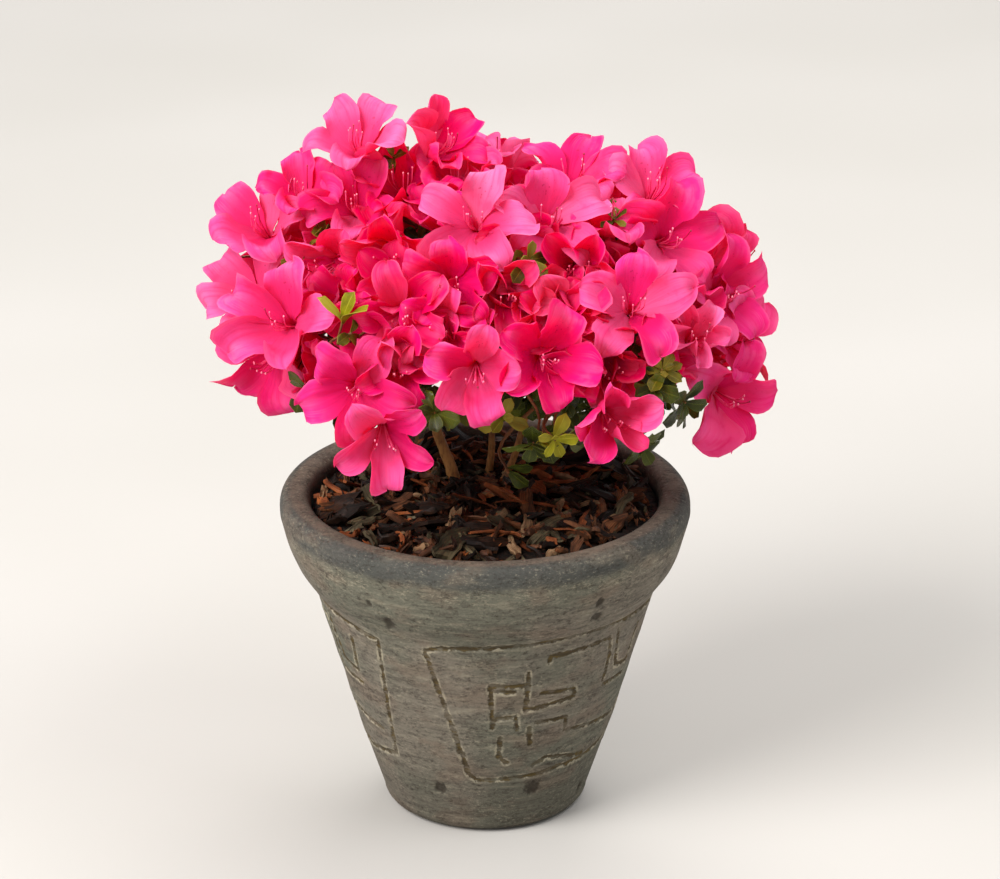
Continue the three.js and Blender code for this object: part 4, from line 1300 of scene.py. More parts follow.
@dataclass(frozen=True)
class PetalFinish:
    """Thin satin petals: deep in the throat, with faint veins, flecks on the lobe that bears them, a painted
    highlight along their edges, and painted shade and highlight along their folds.
    """

    name: str
    tint: Colour
    throat: Colour = paint(236, 8, 104)
    fleck: Colour = paint(186, 0, 60)
    lit: Colour = paint(255, 178, 216)
    glow: float = 0.5

    def made(self) -> bpy.types.Material:
        """Builds the material.

        Returns:
            The material.
        """
        recipe = Recipe(self.name)
        grain = recipe.mapped(GRAIN_MAP)
        across, along, _ = recipe.parts(grain)
        off = recipe.sums("ABSOLUTE", recipe.sums("SUBTRACT", across, 0.5))
        veins = recipe.noise(1.0, 3.0, recipe.stretched(grain, (26, 1.8, 1)))
        creases = recipe.noise(1.0, 2.0, recipe.stretched(grain, (8.0, 1.1, 1)), 0.6)
        clouds = recipe.noise(85.0, 3.0)
        deep, pale = mixed(self.tint, self.throat, 0.65), mixed(self.tint, self.lit, 0.45)
        base = recipe.ramp(along, [(0.12, self.throat), (0.36, deep), (0.58, self.tint), (1.0, self.tint)])
        tone = recipe.marked(TONE_MARK)
        base = recipe.stain(base, pale, tone, 0.4, 1.0, 0.0, 0.5)
        base = recipe.stain(base, deep, tone, 0.0, 0.45, 0.55, 0.0)
        outer = recipe.ranged(along, 0.42, 0.7)
        base = recipe.mix(recipe.times(recipe.ranged(clouds, 0.5, 0.66, 0.0, 0.4), outer), base, pale)
        base = recipe.stain(base, deep, clouds, 0.34, 0.48, 0.4, 0.0)
        beside = recipe.times(recipe.ranged(off, 0.03, 0.2, 0.3, 0.0), outer)
        base = recipe.mix(beside, base, pale)
        # Painted highlight: a pale line along each petal's edges and tip, for the light that catches them.
        rim = recipe.sums("MAXIMUM", recipe.ranged(off, 0.43, 0.5), recipe.ranged(along, 0.95, 1.0))
        base = recipe.mix(recipe.times(recipe.times(rim, outer), 0.5), base, pale)
        base = recipe.stain(base, deep, veins, 0.52, 0.75, 0.0, 0.3)
        # Painted shade and painted highlight along the folds: darker where the crease noise, which also bumps
        # the folds, is high, and paler where it is low.
        base = recipe.stain(base, deep, creases, 0.54, 0.66, 0.0, 0.42)
        base = recipe.mix(recipe.times(recipe.ranged(creases, 0.34, 0.46, 0.4, 0.0), outer), base, pale)
        base = recipe.mix(self._flecks(recipe, grain, off, along), base, self.fleck)
        through = recipe.mix(0.85, base, paint(255, 14, 172), "MULTIPLY")
        folds = recipe.sums("ADD", creases, recipe.times(veins, 0.3))
        relief = recipe.bump(folds, 0.85, 0.7)
        return recipe.finish(base, 0.5, relief, self.glow, through, Specular_IOR_Level=0.12)

    @staticmethod
    def _flecks(recipe: Recipe, grain: Socket, off: Socket, along: Socket) -> Socket:
        """Tells where the dark flecks of the upper lobe are.

        Args:
            recipe: The material's recipe.
            grain: The petal's own coordinates.
            off: How far a place is from the midline.
            along: How far along the petal it is.

        Returns:
            How strong the flecks are there.
        """
        cells = recipe.node("ShaderNodeTexVoronoi")
        recipe.feed(cells.inputs["Vector"], recipe.stretched(grain, (17, 24, 1)))
        cells.inputs["Scale"].default_value = 1.0
        dots = recipe.ranged(cells.outputs["Distance"], 0.16, 0.34, 1.0, 0.0)
        reach = recipe.times(recipe.ranged(along, 0.3, 0.4), recipe.ranged(along, 0.46, 0.66, 1.0, 0.0))
        near = recipe.times(reach, recipe.ranged(off, 0.1, 0.28, 0.5, 0.0))
        return recipe.times(recipe.times(dots, near), recipe.marked(SPOT_MARK))


@dataclass(frozen=True)
class LeafFinish:
    """A small leathery leaf with a paler midrib, and a painted sheen along its edge."""

    name: str
    tint: Colour
    dark: Colour
    rib_and_sheen: Colour
    roughness: float
    glow: float

    def made(self) -> bpy.types.Material:
        """Builds the material.

        Returns:
            The material.
        """
        recipe = Recipe(self.name)
        grain = recipe.mapped(GRAIN_MAP)
        across, along, _ = recipe.parts(grain)
        off = recipe.sums("ABSOLUTE", recipe.sums("SUBTRACT", across, 0.5))
        clouds = recipe.noise(160.0, 3.0)
        base = recipe.stain(self.tint, self.dark, clouds, 0.35, 0.7)
        base = recipe.stain(base, self.rib_and_sheen, recipe.marked(TONE_MARK), 0.3, 1.0, 0.0, 0.7)
        base = recipe.stain(base, self.rib_and_sheen, off, 0.01, 0.05, 0.6, 0.0)
        # Painted sheen: a paler line along the leaf's edge, for the gloss that catches the light there.
        base = recipe.stain(base, self.rib_and_sheen, off, 0.4, 0.49, 0.0, 0.6)
        slant = recipe.sums("SUBTRACT", recipe.times(along, 9.0), recipe.times(off, 9.0))
        ribs = recipe.sums("PINGPONG", slant, 0.5)
        relief = recipe.bump(recipe.ranged(ribs, 0.0, 0.2), 0.25, 0.6)
        rough = recipe.ranged(clouds, 0.3, 0.7, self.roughness, self.roughness + 0.12)
        return recipe.finish(base, rough, relief, self.glow, Specular_IOR_Level=0.18)


@dataclass(frozen=True)
class BarkFinish:
    """Thin bark, streaked along the limb."""

    name: str
    tint: Colour
    dark: Colour

    def made(self) -> bpy.types.Material:
        """Builds the material.

        Returns:
            The material.
        """
        recipe = Recipe(self.name)
        grain = recipe.stretched(recipe.place, (1, 1, 0.25))
        streaks = recipe.noise(900.0, 4.0, grain)
        patches = recipe.noise(140.0, 2.0)
        base = recipe.stain(self.tint, self.dark, streaks, 0.3, 0.55, 0.55, 0.0)
        base = recipe.stain(base, self.dark, patches, 0.45, 0.7, 0.0, 0.5)
        relief = recipe.bump(streaks, 0.3, 0.6)
        return recipe.finish(base, 0.6, relief, Specular_IOR_Level=0.25)


@dataclass(frozen=True)
class ChipFinish:
    """Damp bark mulch, with fibres along each chip."""

    name: str
    tint: Colour
    dark: Colour
    roughness: float = 0.55

    def made(self) -> bpy.types.Material:
        """Builds the material.

        Returns:
            The material.
        """
        recipe = Recipe(self.name)
        grain = recipe.mapped(GRAIN_MAP)
        fibres = recipe.noise(1.0, 4.0, recipe.stretched(grain, (14, 1.6, 1)))
        patches = recipe.noise(130.0, 3.0)
        base = recipe.stain(self.dark, self.tint, fibres, 0.35, 0.65)
        base = recipe.stain(base, self.dark, patches, 0.42, 0.62, 0.0, 0.75)
        base = recipe.stain(base, self.dark, recipe.marked(TONE_MARK), 0.0, 0.6, 0.7, 0.0)
        rough = recipe.ranged(patches, 0.35, 0.65, self.roughness, self.roughness + 0.3)
        return recipe.finish(base, rough, recipe.bump(fibres, 0.4, 0.9), Specular_IOR_Level=0.16)


@dataclass(frozen=True)
class SoilFinish:
    """Dark crumbly compost."""

    name: str = "compost_crumb"
    tint: Colour = paint(44, 32, 24)
    dark: Colour = paint(14, 10, 8)

    def made(self) -> bpy.types.Material:
        """Builds the material.

        Returns:
            The material.
        """
        recipe = Recipe(self.name)
        crumbs = recipe.noise(420.0, 6.0)
        base = recipe.stain(self.dark, self.tint, crumbs, 0.4, 0.62)
        return recipe.finish(base, 0.9, recipe.bump(crumbs, 1.5, 0.9), Specular_IOR_Level=0.2)


@dataclass(frozen=True)
class PlainFinish:
    """An even finish for very small parts, only slightly clouded."""

    name: str
    tint: Colour
    dark: Colour
    roughness: float = 0.5
    glow: float = 0.0

    def made(self) -> bpy.types.Material:
        """Builds the material.

        Returns:
            The material.
        """
        recipe = Recipe(self.name)
        clouds = recipe.noise(260.0, 2.0)
        base = recipe.stain(self.tint, self.dark, clouds, 0.4, 0.65)
        return recipe.finish(base, self.roughness, recipe.bump(clouds, 0.1, 0.3), self.glow)


@dataclass(frozen=True)
class ClayFinish:
    """Weathered clay: grey-brown and grey-green, with a blue-grey rim, pale scratches and dark flecks."""

    name: str = "weathered_clay"
    grey: Colour = paint(118, 110, 97)
    green: Colour = paint(104, 102, 88)
    brown: Colour = paint(112, 96, 82)
    slate: Colour = paint(62, 63, 61)
    dark: Colour = paint(46, 39, 31)
    cream: Colour = paint(172, 162, 138)
    ochre: Colour = paint(86, 71, 38)

    def made(self) -> bpy.types.Material:
        """Builds the material.

        Returns:
            The material.
        """
        recipe = Recipe(self.name)
        height = recipe.parts(recipe.place)[2]
        broad = recipe.noise(15.0, 3.0)
        patches = recipe.noise(38.0, 4.0, recipe.stretched(recipe.place, (1, 1, 1.8)))
        turning = recipe.noise(60.0, 5.0, recipe.stretched(recipe.place, (1, 1, 7.0)), 0.65)
        fine = recipe.noise(520.0, 5.0, recipe.stretched(recipe.place, (1, 1, 1.7)), 0.8)
        grime = recipe.noise(120.0, 4.0, recipe.stretched(recipe.place, (1, 1, 2.4)), 0.65)
        base = recipe.stain(self.grey, self.green, broad, 0.42, 0.58)
        base = recipe.stain(base, self.brown, patches, 0.36, 0.52, 0.55, 0.0)
        base = recipe.stain(base, self.dark, turning, 0.5, 0.64, 0.0, 0.4)
        base = recipe.stain(base, self.cream, turning, 0.32, 0.46, 0.26, 0.0)
        base = recipe.stain(base, self.dark, grime, 0.5, 0.64, 0.0, 0.3)
        base = recipe.mix(self._band(recipe, height, patches), base, self.slate)
        lip = recipe.stain(self.brown, mixed(self.brown, self.dark, 0.35), grime, 0.4, 0.6)
        base = recipe.mix(self._lip_top(recipe, height), base, lip)
        base = recipe.stain(base, self.dark, height, 0.0, 0.06, 0.34, 0.0)
        grains = recipe.times(recipe.ranged(fine, 0.5, 0.62), recipe.ranged(grime, 0.38, 0.6, 0.2, 0.68))
        base = recipe.mix(grains, base, self.dark)
        base = recipe.mix(self._scratches(recipe, height, fine), base, self.cream)
        base, groove = self._fretted(recipe, base, grime, turning)
        base = recipe.stain(base, self.dark, recipe.marked(PIT_MARK), 0.1, 0.7, 0.0, 0.78)
        rough = recipe.ranged(fine, 0.3, 0.7, 0.74, 0.92)
        grain = recipe.sums("ADD", recipe.times(grime, 0.5), recipe.times(fine, 0.6))
        grain = recipe.sums("SUBTRACT", grain, recipe.times(groove, 0.5))
        return recipe.finish(base, rough, recipe.bump(grain, 0.9, 0.8), Specular_IOR_Level=0.25)

    def _fretted(
        self,
        recipe: Recipe,
        base: Socket,
        grime: Socket,
        turning: Socket,
    ) -> tuple[Socket, Socket]:
        """Draws the fret's worn grooves, dark and mossy inside and pale along their edges.

        Args:
            recipe: The material in the making.
            base: The clay's colour so far.
            grime: Its middling noise.
            turning: The noise of its throwing lines.

        Returns:
            The colour with the fret, and how deep in a groove each place is.
        """
        wander = recipe.sums("SUBTRACT", recipe.noise(300.0, 3.0, None, 0.7), 0.5)
        gap = recipe.sums("ADD", recipe.marked(FRET_MARK), recipe.times(wander, 4.0))
        wear = recipe.ranged(grime, 0.4, 0.54, 0.35, 1.0)
        groove = recipe.times(recipe.ranged(gap, 0.75, 1.2, 1.0, 0.0), wear)
        filling = recipe.stain(mixed(self.dark, self.ochre, 0.35), self.ochre, turning, 0.47, 0.58)
        edge = recipe.times(recipe.ranged(gap, 0.95, 1.35), recipe.ranged(gap, 1.7, 2.5, 1.0, 0.0))
        crumbling = recipe.noise(150.0, 4.0, None, 0.7)
        edge = recipe.times(edge, recipe.ranged(crumbling, 0.46, 0.62, 0.04, 0.6))
        base = recipe.mix(edge, base, self.cream)
        return recipe.mix(recipe.times(groove, 0.95), base, filling), groove

    @staticmethod
    def _band(recipe: Recipe, height: Socket, patches: Socket) -> Socket:
        """Tells how blue-grey the clay is: most of all on the outer band of the rim, and in patches below.

        Args:
            recipe: The recipe.
            height: The height of the place.
            patches: A slow noise.

        Returns:
            The share of blue-grey.
        """
        band = recipe.ranged(height, (POT_HEIGHT - 12) * MM, (POT_HEIGHT - 7) * MM)
        ragged = recipe.ranged(patches, 0.36, 0.52, 0.5, 1.0)
        share = recipe.sums("ADD", recipe.times(band, 0.72), 0.12)
        return recipe.times(ragged, share)

    @staticmethod
    def _lip_top(recipe: Recipe, height: Socket) -> Socket:
        """Tells how brown the clay is: on the flat top of the lip, inside its shoulder.

        Args:
            recipe: The recipe.
            height: The height of the place.

        Returns:
            The share of brown.
        """
        x, y, _ = recipe.parts(recipe.place)
        square = recipe.sums("ADD", recipe.times(x, x), recipe.times(y, y))
        radius = recipe.sums("SQRT", square)
        inside = recipe.ranged(radius, (RIM_RADIUS - 6.0) * MM, (RIM_RADIUS - 3.0) * MM, 1.0, 0.0)
        up = recipe.ranged(height, (POT_HEIGHT - 7.0) * MM, (POT_HEIGHT - 3.0) * MM, 0.0, 0.7)
        return recipe.times(inside, up)

    @staticmethod
    def _scratches(recipe: Recipe, height: Socket, fine: Socket) -> Socket:
        """Tells where pale scratches are: thinly all over, and thick on the ridge of the collar.

        Args:
            recipe: The recipe.
            height: The height of the place.
            fine: A fine noise.

        Returns:
            The share of pale.
        """
        scratch = recipe.noise(360.0, 5.0, recipe.stretched(recipe.place, (1, 1, 2.6)), 0.8)
        low, high = (POT_HEIGHT - 23) * MM, (POT_HEIGHT - 7) * MM
        middle = (POT_HEIGHT - 13) * MM
        foot = recipe.times(recipe.ranged(height, low, middle), recipe.ranged(height, middle, high, 1.0, 0.0))
        clumps = recipe.ranged(recipe.noise(70.0, 4.0, None, 0.65), 0.4, 0.58, 0.3, 1.0)
        thick = recipe.times(recipe.ranged(scratch, 0.52, 0.66, 0.0, 0.75), foot)
        thin = recipe.times(recipe.ranged(fine, 0.36, 0.44, 0.36, 0.0), clumps)
        return recipe.sums("MAXIMUM", recipe.times(thick, clumps), thin)


def mixed(first: Colour, second: Colour, share: float) -> Colour:
    """Mixes two colours, with the share of the second."""
    return tuple(a + (b - a) * share for a, b in zip(first, second))


def keep(piece: Piece, finish: object, stands_for: Iterable[str]) -> Piece:
    """Dresses a piece and gives it its place in the part.

    Args:
        piece: The piece.
        finish: What it is finished with.
        stands_for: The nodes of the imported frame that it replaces.

    Returns:
        The piece.
    """
    piece.data.materials.clear()
    piece.data.materials.append(finish.made())
    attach(piece, "root")
    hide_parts(*stands_for)
    faces = sum(len(face.vertices) - 2 for face in piece.data.polygons)
    LOG.info("%s: %d triangles", piece.name, faces)
    return piece


# Sub-assemblies


class Ring(NamedTuple):
    """One step of a turned profile: a radius and a height."""

    radius: float
    height: float


@dataclass
class ClayPot:
    """The pot: a rolled lip on a tapered collar over a thick cone of wall with an incised key fret."""

    columns: int = 576
    fret_low: float = 15.0
    fret_high: float = 107.0
    fret_rows: int = 112
    collar_rings: int = 30
    cut_width: float = 1.25
    cut_depth: float = 0.7
    ridge_height: float = 0.22
    pits: tuple[tuple[float, float, float], ...] = (
        (-30.0, 113.0, 3.9),
        (-35.0, 122.0, 2.0),
        (35.0, 122.5, 2.9),
        (35.5, 114.5, 3.3),
        (24.0, 23.0, 4.6),
        (-22.5, 23.0, 3.8),
        (150.0, 60.0, 2.4),
        (-110.0, 110.0, 2.2),
        (100.0, 22.0, 2.5),
        (62.0, 12.0, 1.8),
    )

    def build(self) -> Piece:
        """Models the pot and dresses it."""
        piece = self._turned()
        self._drill(piece)
        self._refine(piece)
        self._carve(piece)
        self._map(piece)
        shade(piece, 50)
        return keep(piece, ClayFinish(), ["pot"])

    def _profile(self) -> list[Ring]:
        """Gives the rings of the outer wall, the lip and the inner wall, from the foot round.

        Returns:
            The rings.
        """
        rings = []
        for turn in range(0, 91, 15):
            a = math.radians(turn)
            rounding = FOOT_ROUNDING * (1 - math.sin(a)), FOOT_ROUNDING * (1 - math.cos(a))
            rings.append(Ring(BASE_RADIUS - rounding[0], rounding[1]))
        rings = rings[:-1]
        for height in (FOOT_ROUNDING, 12.0, self.fret_low, self.fret_high):
            rings.append(Ring(self.wall_radius(height), height))
        lip_middle, lip_base = RIM_RADIUS - LIP_WIDTH / 2, POT_HEIGHT - LIP_RISE
        bends = [(NECK_RADIUS, NECK_HEIGHT), *COLLAR, (RIM_RADIUS, lip_base)]
        collar = flowing(bends, np.linspace(0, 1, self.collar_rings))
        rings += [Ring(*ring) for ring in collar[collar[:, 1] > self.fret_high + 0.6]][:-1]
        for turn in range(0, 181, 10):
            across, up = math.cos(math.radians(turn)), max(math.sin(math.radians(turn)), 0.0)
            out = math.copysign(abs(across) ** LIP_SQUARENESS, across)
            rings.append(Ring(lip_middle + LIP_WIDTH / 2 * out, lip_base + LIP_RISE * up**LIP_SQUARENESS))
        for height in (120.0, 80.0, 40.0, FLOOR_THICKNESS):
            rings.append(Ring(inner_radius(height), height))
        return rings

    @staticmethod
    def wall_radius(height: float) -> float:
        """Gives the outer radius of the wall or the collar at a height.

        Args:
            height: The height.

        Returns:
            The radius.
        """
        share = (height - FOOT_ROUNDING) / (NECK_HEIGHT - FOOT_ROUNDING)
        bulge = WALL_BULGE * math.sin(math.pi * min(max(share, 0.0), 1.0))
        cone = BASE_RADIUS + (NECK_RADIUS - BASE_RADIUS) * share + bulge
        radii, heights = zip((NECK_RADIUS, NECK_HEIGHT), *COLLAR, (RIM_RADIUS, POT_HEIGHT - LIP_RISE))
        return cone if height < NECK_HEIGHT else float(np.interp(height, heights, radii))

    def _turned(self) -> Piece:
        """Turns the pot from a disc, ring by ring.

        Returns:
            The pot.
        """
        rings = self._profile()
        start_fresh()
        first = rings[0]
        bpy.ops.mesh.primitive_circle_add(
            vertices=self.columns,
            radius=first.radius * MM,
            fill_type="NGON",
            location=(0, 0, first.height * MM),
        )
        piece = bpy.context.object
        piece.name = "pot_wall"
        bpy.ops.object.transform_apply(location=True)
        with editing():
            for before, ring in zip(rings, rings[1:]):
                rise = (ring.height - before.height) * MM
                bpy.ops.mesh.extrude_region_move(TRANSFORM_OT_translate={"value": (0, 0, rise)})
                scale = ring.radius / before.radius
                bpy.ops.transform.resize(value=(scale, scale, 1), center_override=(0, 0, ring.height * MM))
        return piece

    def _drill(self, piece: Piece) -> None:
        """Cuts the drain holes through the floor.

        Args:
            piece: The pot.
        """
        for i in range(DRAIN_COUNT):
            angle = FULL_TURN * (i + 0.5) / DRAIN_COUNT
            start_fresh()
            bpy.ops.mesh.primitive_cylinder_add(
                vertices=24,
                radius=DRAIN_RADIUS * MM,
                depth=3 * FLOOR_THICKNESS * MM,
                location=(DRAIN_RING * math.cos(angle) * MM, DRAIN_RING * math.sin(angle) * MM, 0),
            )
            drill = bpy.context.object
            bpy.context.view_layer.objects.active = piece
            cut = piece.modifiers.new("drain", "BOOLEAN")
            cut.operation, cut.object, cut.solver = "DIFFERENCE", drill, "EXACT"
            bpy.ops.object.modifier_apply(modifier=cut.name)
            bpy.data.objects.remove(drill)

    def _refine(self, piece: Piece) -> None:
        """Divides the part of the wall that carries the fret finely enough to carve it.

        Args:
            piece: The pot.
        """
        start_fresh()
        bpy.context.view_layer.objects.active = piece
        mesh = piece.data
        points, ends = listed(mesh.vertices, "co", 3), listed(mesh.edges, "vertices", 2, int)
        heights = np.sort(points[:, 2][ends], axis=1)
        inside = np.hypot(points[:, 0], points[:, 1])[ends].min(1)
        wanted = abs(heights[:, 0] - self.fret_low * MM) < 1e-5
        wanted &= abs(heights[:, 1] - self.fret_high * MM) < 1e-5
        wanted &= inside > (BASE_RADIUS + 1) * MM
        for name, count in (("vertices", len(mesh.vertices)), ("polygons", len(mesh.polygons))):
            getattr(mesh, name).foreach_set("select", np.zeros(count, bool))
        mesh.edges.foreach_set("select", wanted)
        tools = bpy.context.scene.tool_settings
        tools.mesh_select_mode = (False, True, False)
        bpy.ops.object.mode_set(mode="EDIT")
        bpy.ops.mesh.subdivide_edgering(number_cuts=self.fret_rows, interpolation="LINEAR", smoothness=0)
        bpy.ops.object.mode_set(mode="OBJECT")
        tools.mesh_select_mode = (True, False, False)

    def _carve(self, piece: Piece) -> None:
        """Carves the fret, presses the pits and gives the whole pot its hand-made unevenness.

        Args:
            piece: The pot.
        """
        mesh = piece.data
        points = listed(mesh.vertices, "co", 3) / MM
        radius = np.hypot(points[:, 0], points[:, 1])
        bearing = np.degrees(np.arctan2(points[:, 0], -points[:, 1]))
        height = points[:, 2]
        wall = np.array([self.wall_radius(h) for h in height])
        outer = (radius > wall - 2) & (height > 1) & (height < self.fret_high)
        x, y = points[:, 0], points[:, 1]
        gap = np.full(len(points), 99.0)
        for line in (FRET_OUTLINE, *FRET_LINES):
            for start, end in zip(line, line[1:]):
                gap = np.minimum(gap, self._distance(bearing, height, wall, start, end))
        gap = np.where(outer, np.minimum(gap, FRET_REACH), FRET_REACH)
        wear = 0.72 + 0.28 * np.sin(x / 5.3 + height / 7.1) * np.cos(height / 4.7 - y / 9)
        groove = np.clip(1 - (gap / self.cut_width) ** 2, 0, 1)
        ridge = np.exp(-(((gap - 1.7 * self.cut_width) / 0.8) ** 2))
        outward = (self.ridge_height * ridge - self.cut_depth * groove) * wear
        pit = np.zeros(len(points))
        outward += np.where(outer & (height > self.fret_low) & (height < self.fret_high), wall - radius, 0)
        for pit_bearing, pit_height, size in self.pits:
            turn = (bearing - pit_bearing + 180) % 360 - 180
            apart = np.hypot(np.radians(turn) * radius, height - pit_height) / size
            apart += 0.22 * np.sin(turn * 1.9 + height) * np.sin(height * 1.4 + pit_bearing)
            hollow = np.where(outer | (height > NECK_HEIGHT), np.clip(1 - apart**2, 0, 1), 0)
            outward -= 1.4 * hollow
            pit = np.maximum(pit, hollow)
        skin = radius > inner_radius(60) - 1
        waves = np.sin(x / 11 + height / 17) + np.sin(y / 13 - height / 9)
        waves += 0.6 * np.sin(height / 2.9 + 2 * np.sin(np.radians(bearing) * 3))
        outward += np.where(outer | (height > NECK_HEIGHT), 0.16 * waves, 0) * skin
        away = points[:, :2] / np.maximum(radius, 1e-6)[:, None]
        points[:, :2] += away * outward[:, None]
        mesh.vertices.foreach_set("co", (points * MM).ravel())
        for name, values in ((FRET_MARK, gap), (PIT_MARK, pit)):
            marks = mesh.attributes.new(name, "FLOAT", "POINT")
            marks.data.foreach_set("value", values.astype(np.float32))
        mesh.update()

    @staticmethod
    def _map(piece: Piece) -> None:
        """Lays the pot's bake map: its skin unrolled by bearing, with its floor and underside beside it.

        Args:
            piece: The pot.
        """
        mesh = piece.data
        x, y, height = listed(mesh.vertices, "co", 3).T / MM
        corners, counts = faces_of(mesh)
        face = np.repeat(np.arange(len(counts)), counts)
        radius = np.hypot(x, y)
        lip_base, lip_middle = POT_HEIGHT - LIP_RISE, RIM_RADIUS - LIP_WIDTH / 2
        inner = np.array([inner_radius(h) for h in height])
        outside = radius > (inner + np.array([ClayPot.wall_radius(h) for h in height])) / 2
        over = np.arctan2((height - lip_base) / LIP_RISE, (radius - lip_middle) / (LIP_WIDTH / 2)) / math.pi
        far = lip_base + LIP_ON_MAP + lip_base - height
        measure = np.where(height > lip_base, lip_base + LIP_ON_MAP * over, np.where(outside, height, far))
        turn = np.arctan2(x, -y) / FULL_TURN
        middle_x, middle_y = (np.bincount(face, value[corners]) / counts for value in (x, y))
        facing = (np.arctan2(middle_x, -middle_y) / FULL_TURN)[face]
        unrolled = turn[corners] - np.round(turn[corners] - facing)
        skin = np.stack([0.5 + unrolled, measure[corners] / SKIN_ON_MAP * SKIN_SHARE], 1)
        middle_z = np.bincount(face, height[corners]) / counts
        flat = (np.bincount(face, radius[corners]) / counts < INNER_FLOOR_RADIUS)[face]
        shift = np.where(middle_z[face] > FLOOR_THICKNESS / 2, 0.3, 0.1)
        upward = (y[corners] + 0.1 * height[corners]) / DISC_ON_MAP
        disc = np.stack([x[corners] / DISC_ON_MAP + shift, 0.9 + upward], 1)
        baked = np.where(flat[:, None], disc, skin)
        mesh.uv_layers.new(name=BAKE_MAP).uv.foreach_set("vector", baked.astype(np.float32).ravel())

    @staticmethod
    def _distance(
        bearing: np.ndarray,
        height: np.ndarray,
        radius: np.ndarray,
        start: tuple[float, float],
        end: tuple[float, float],
    ) -> np.ndarray:
        """Measures how far places of the wall are from a line of the fret, in the nearest panel.

        Args:
            bearing: The bearing of each place.
            height: The height of each place.
            radius: The wall's radius there.
            start: The bearing and height where the line starts.
            end: The bearing and height where it ends.

        Returns:
            The distance of each place, in millimetres.
        """
        turn = (bearing - PANEL_MIDDLE + 180 / PANELS) % (360 / PANELS) - 180 / PANELS + PANEL_MIDDLE
        scale = np.radians(1) * radius
        x, y = (turn - start[0]) * scale, height - start[1]
        dx, dy = (end[0] - start[0]) * scale, end[1] - start[1]
        share = np.clip((x * dx + y * dy) / (dx * dx + dy * dy), 0, 1)
        return np.hypot(x - share * dx, y - share * dy)


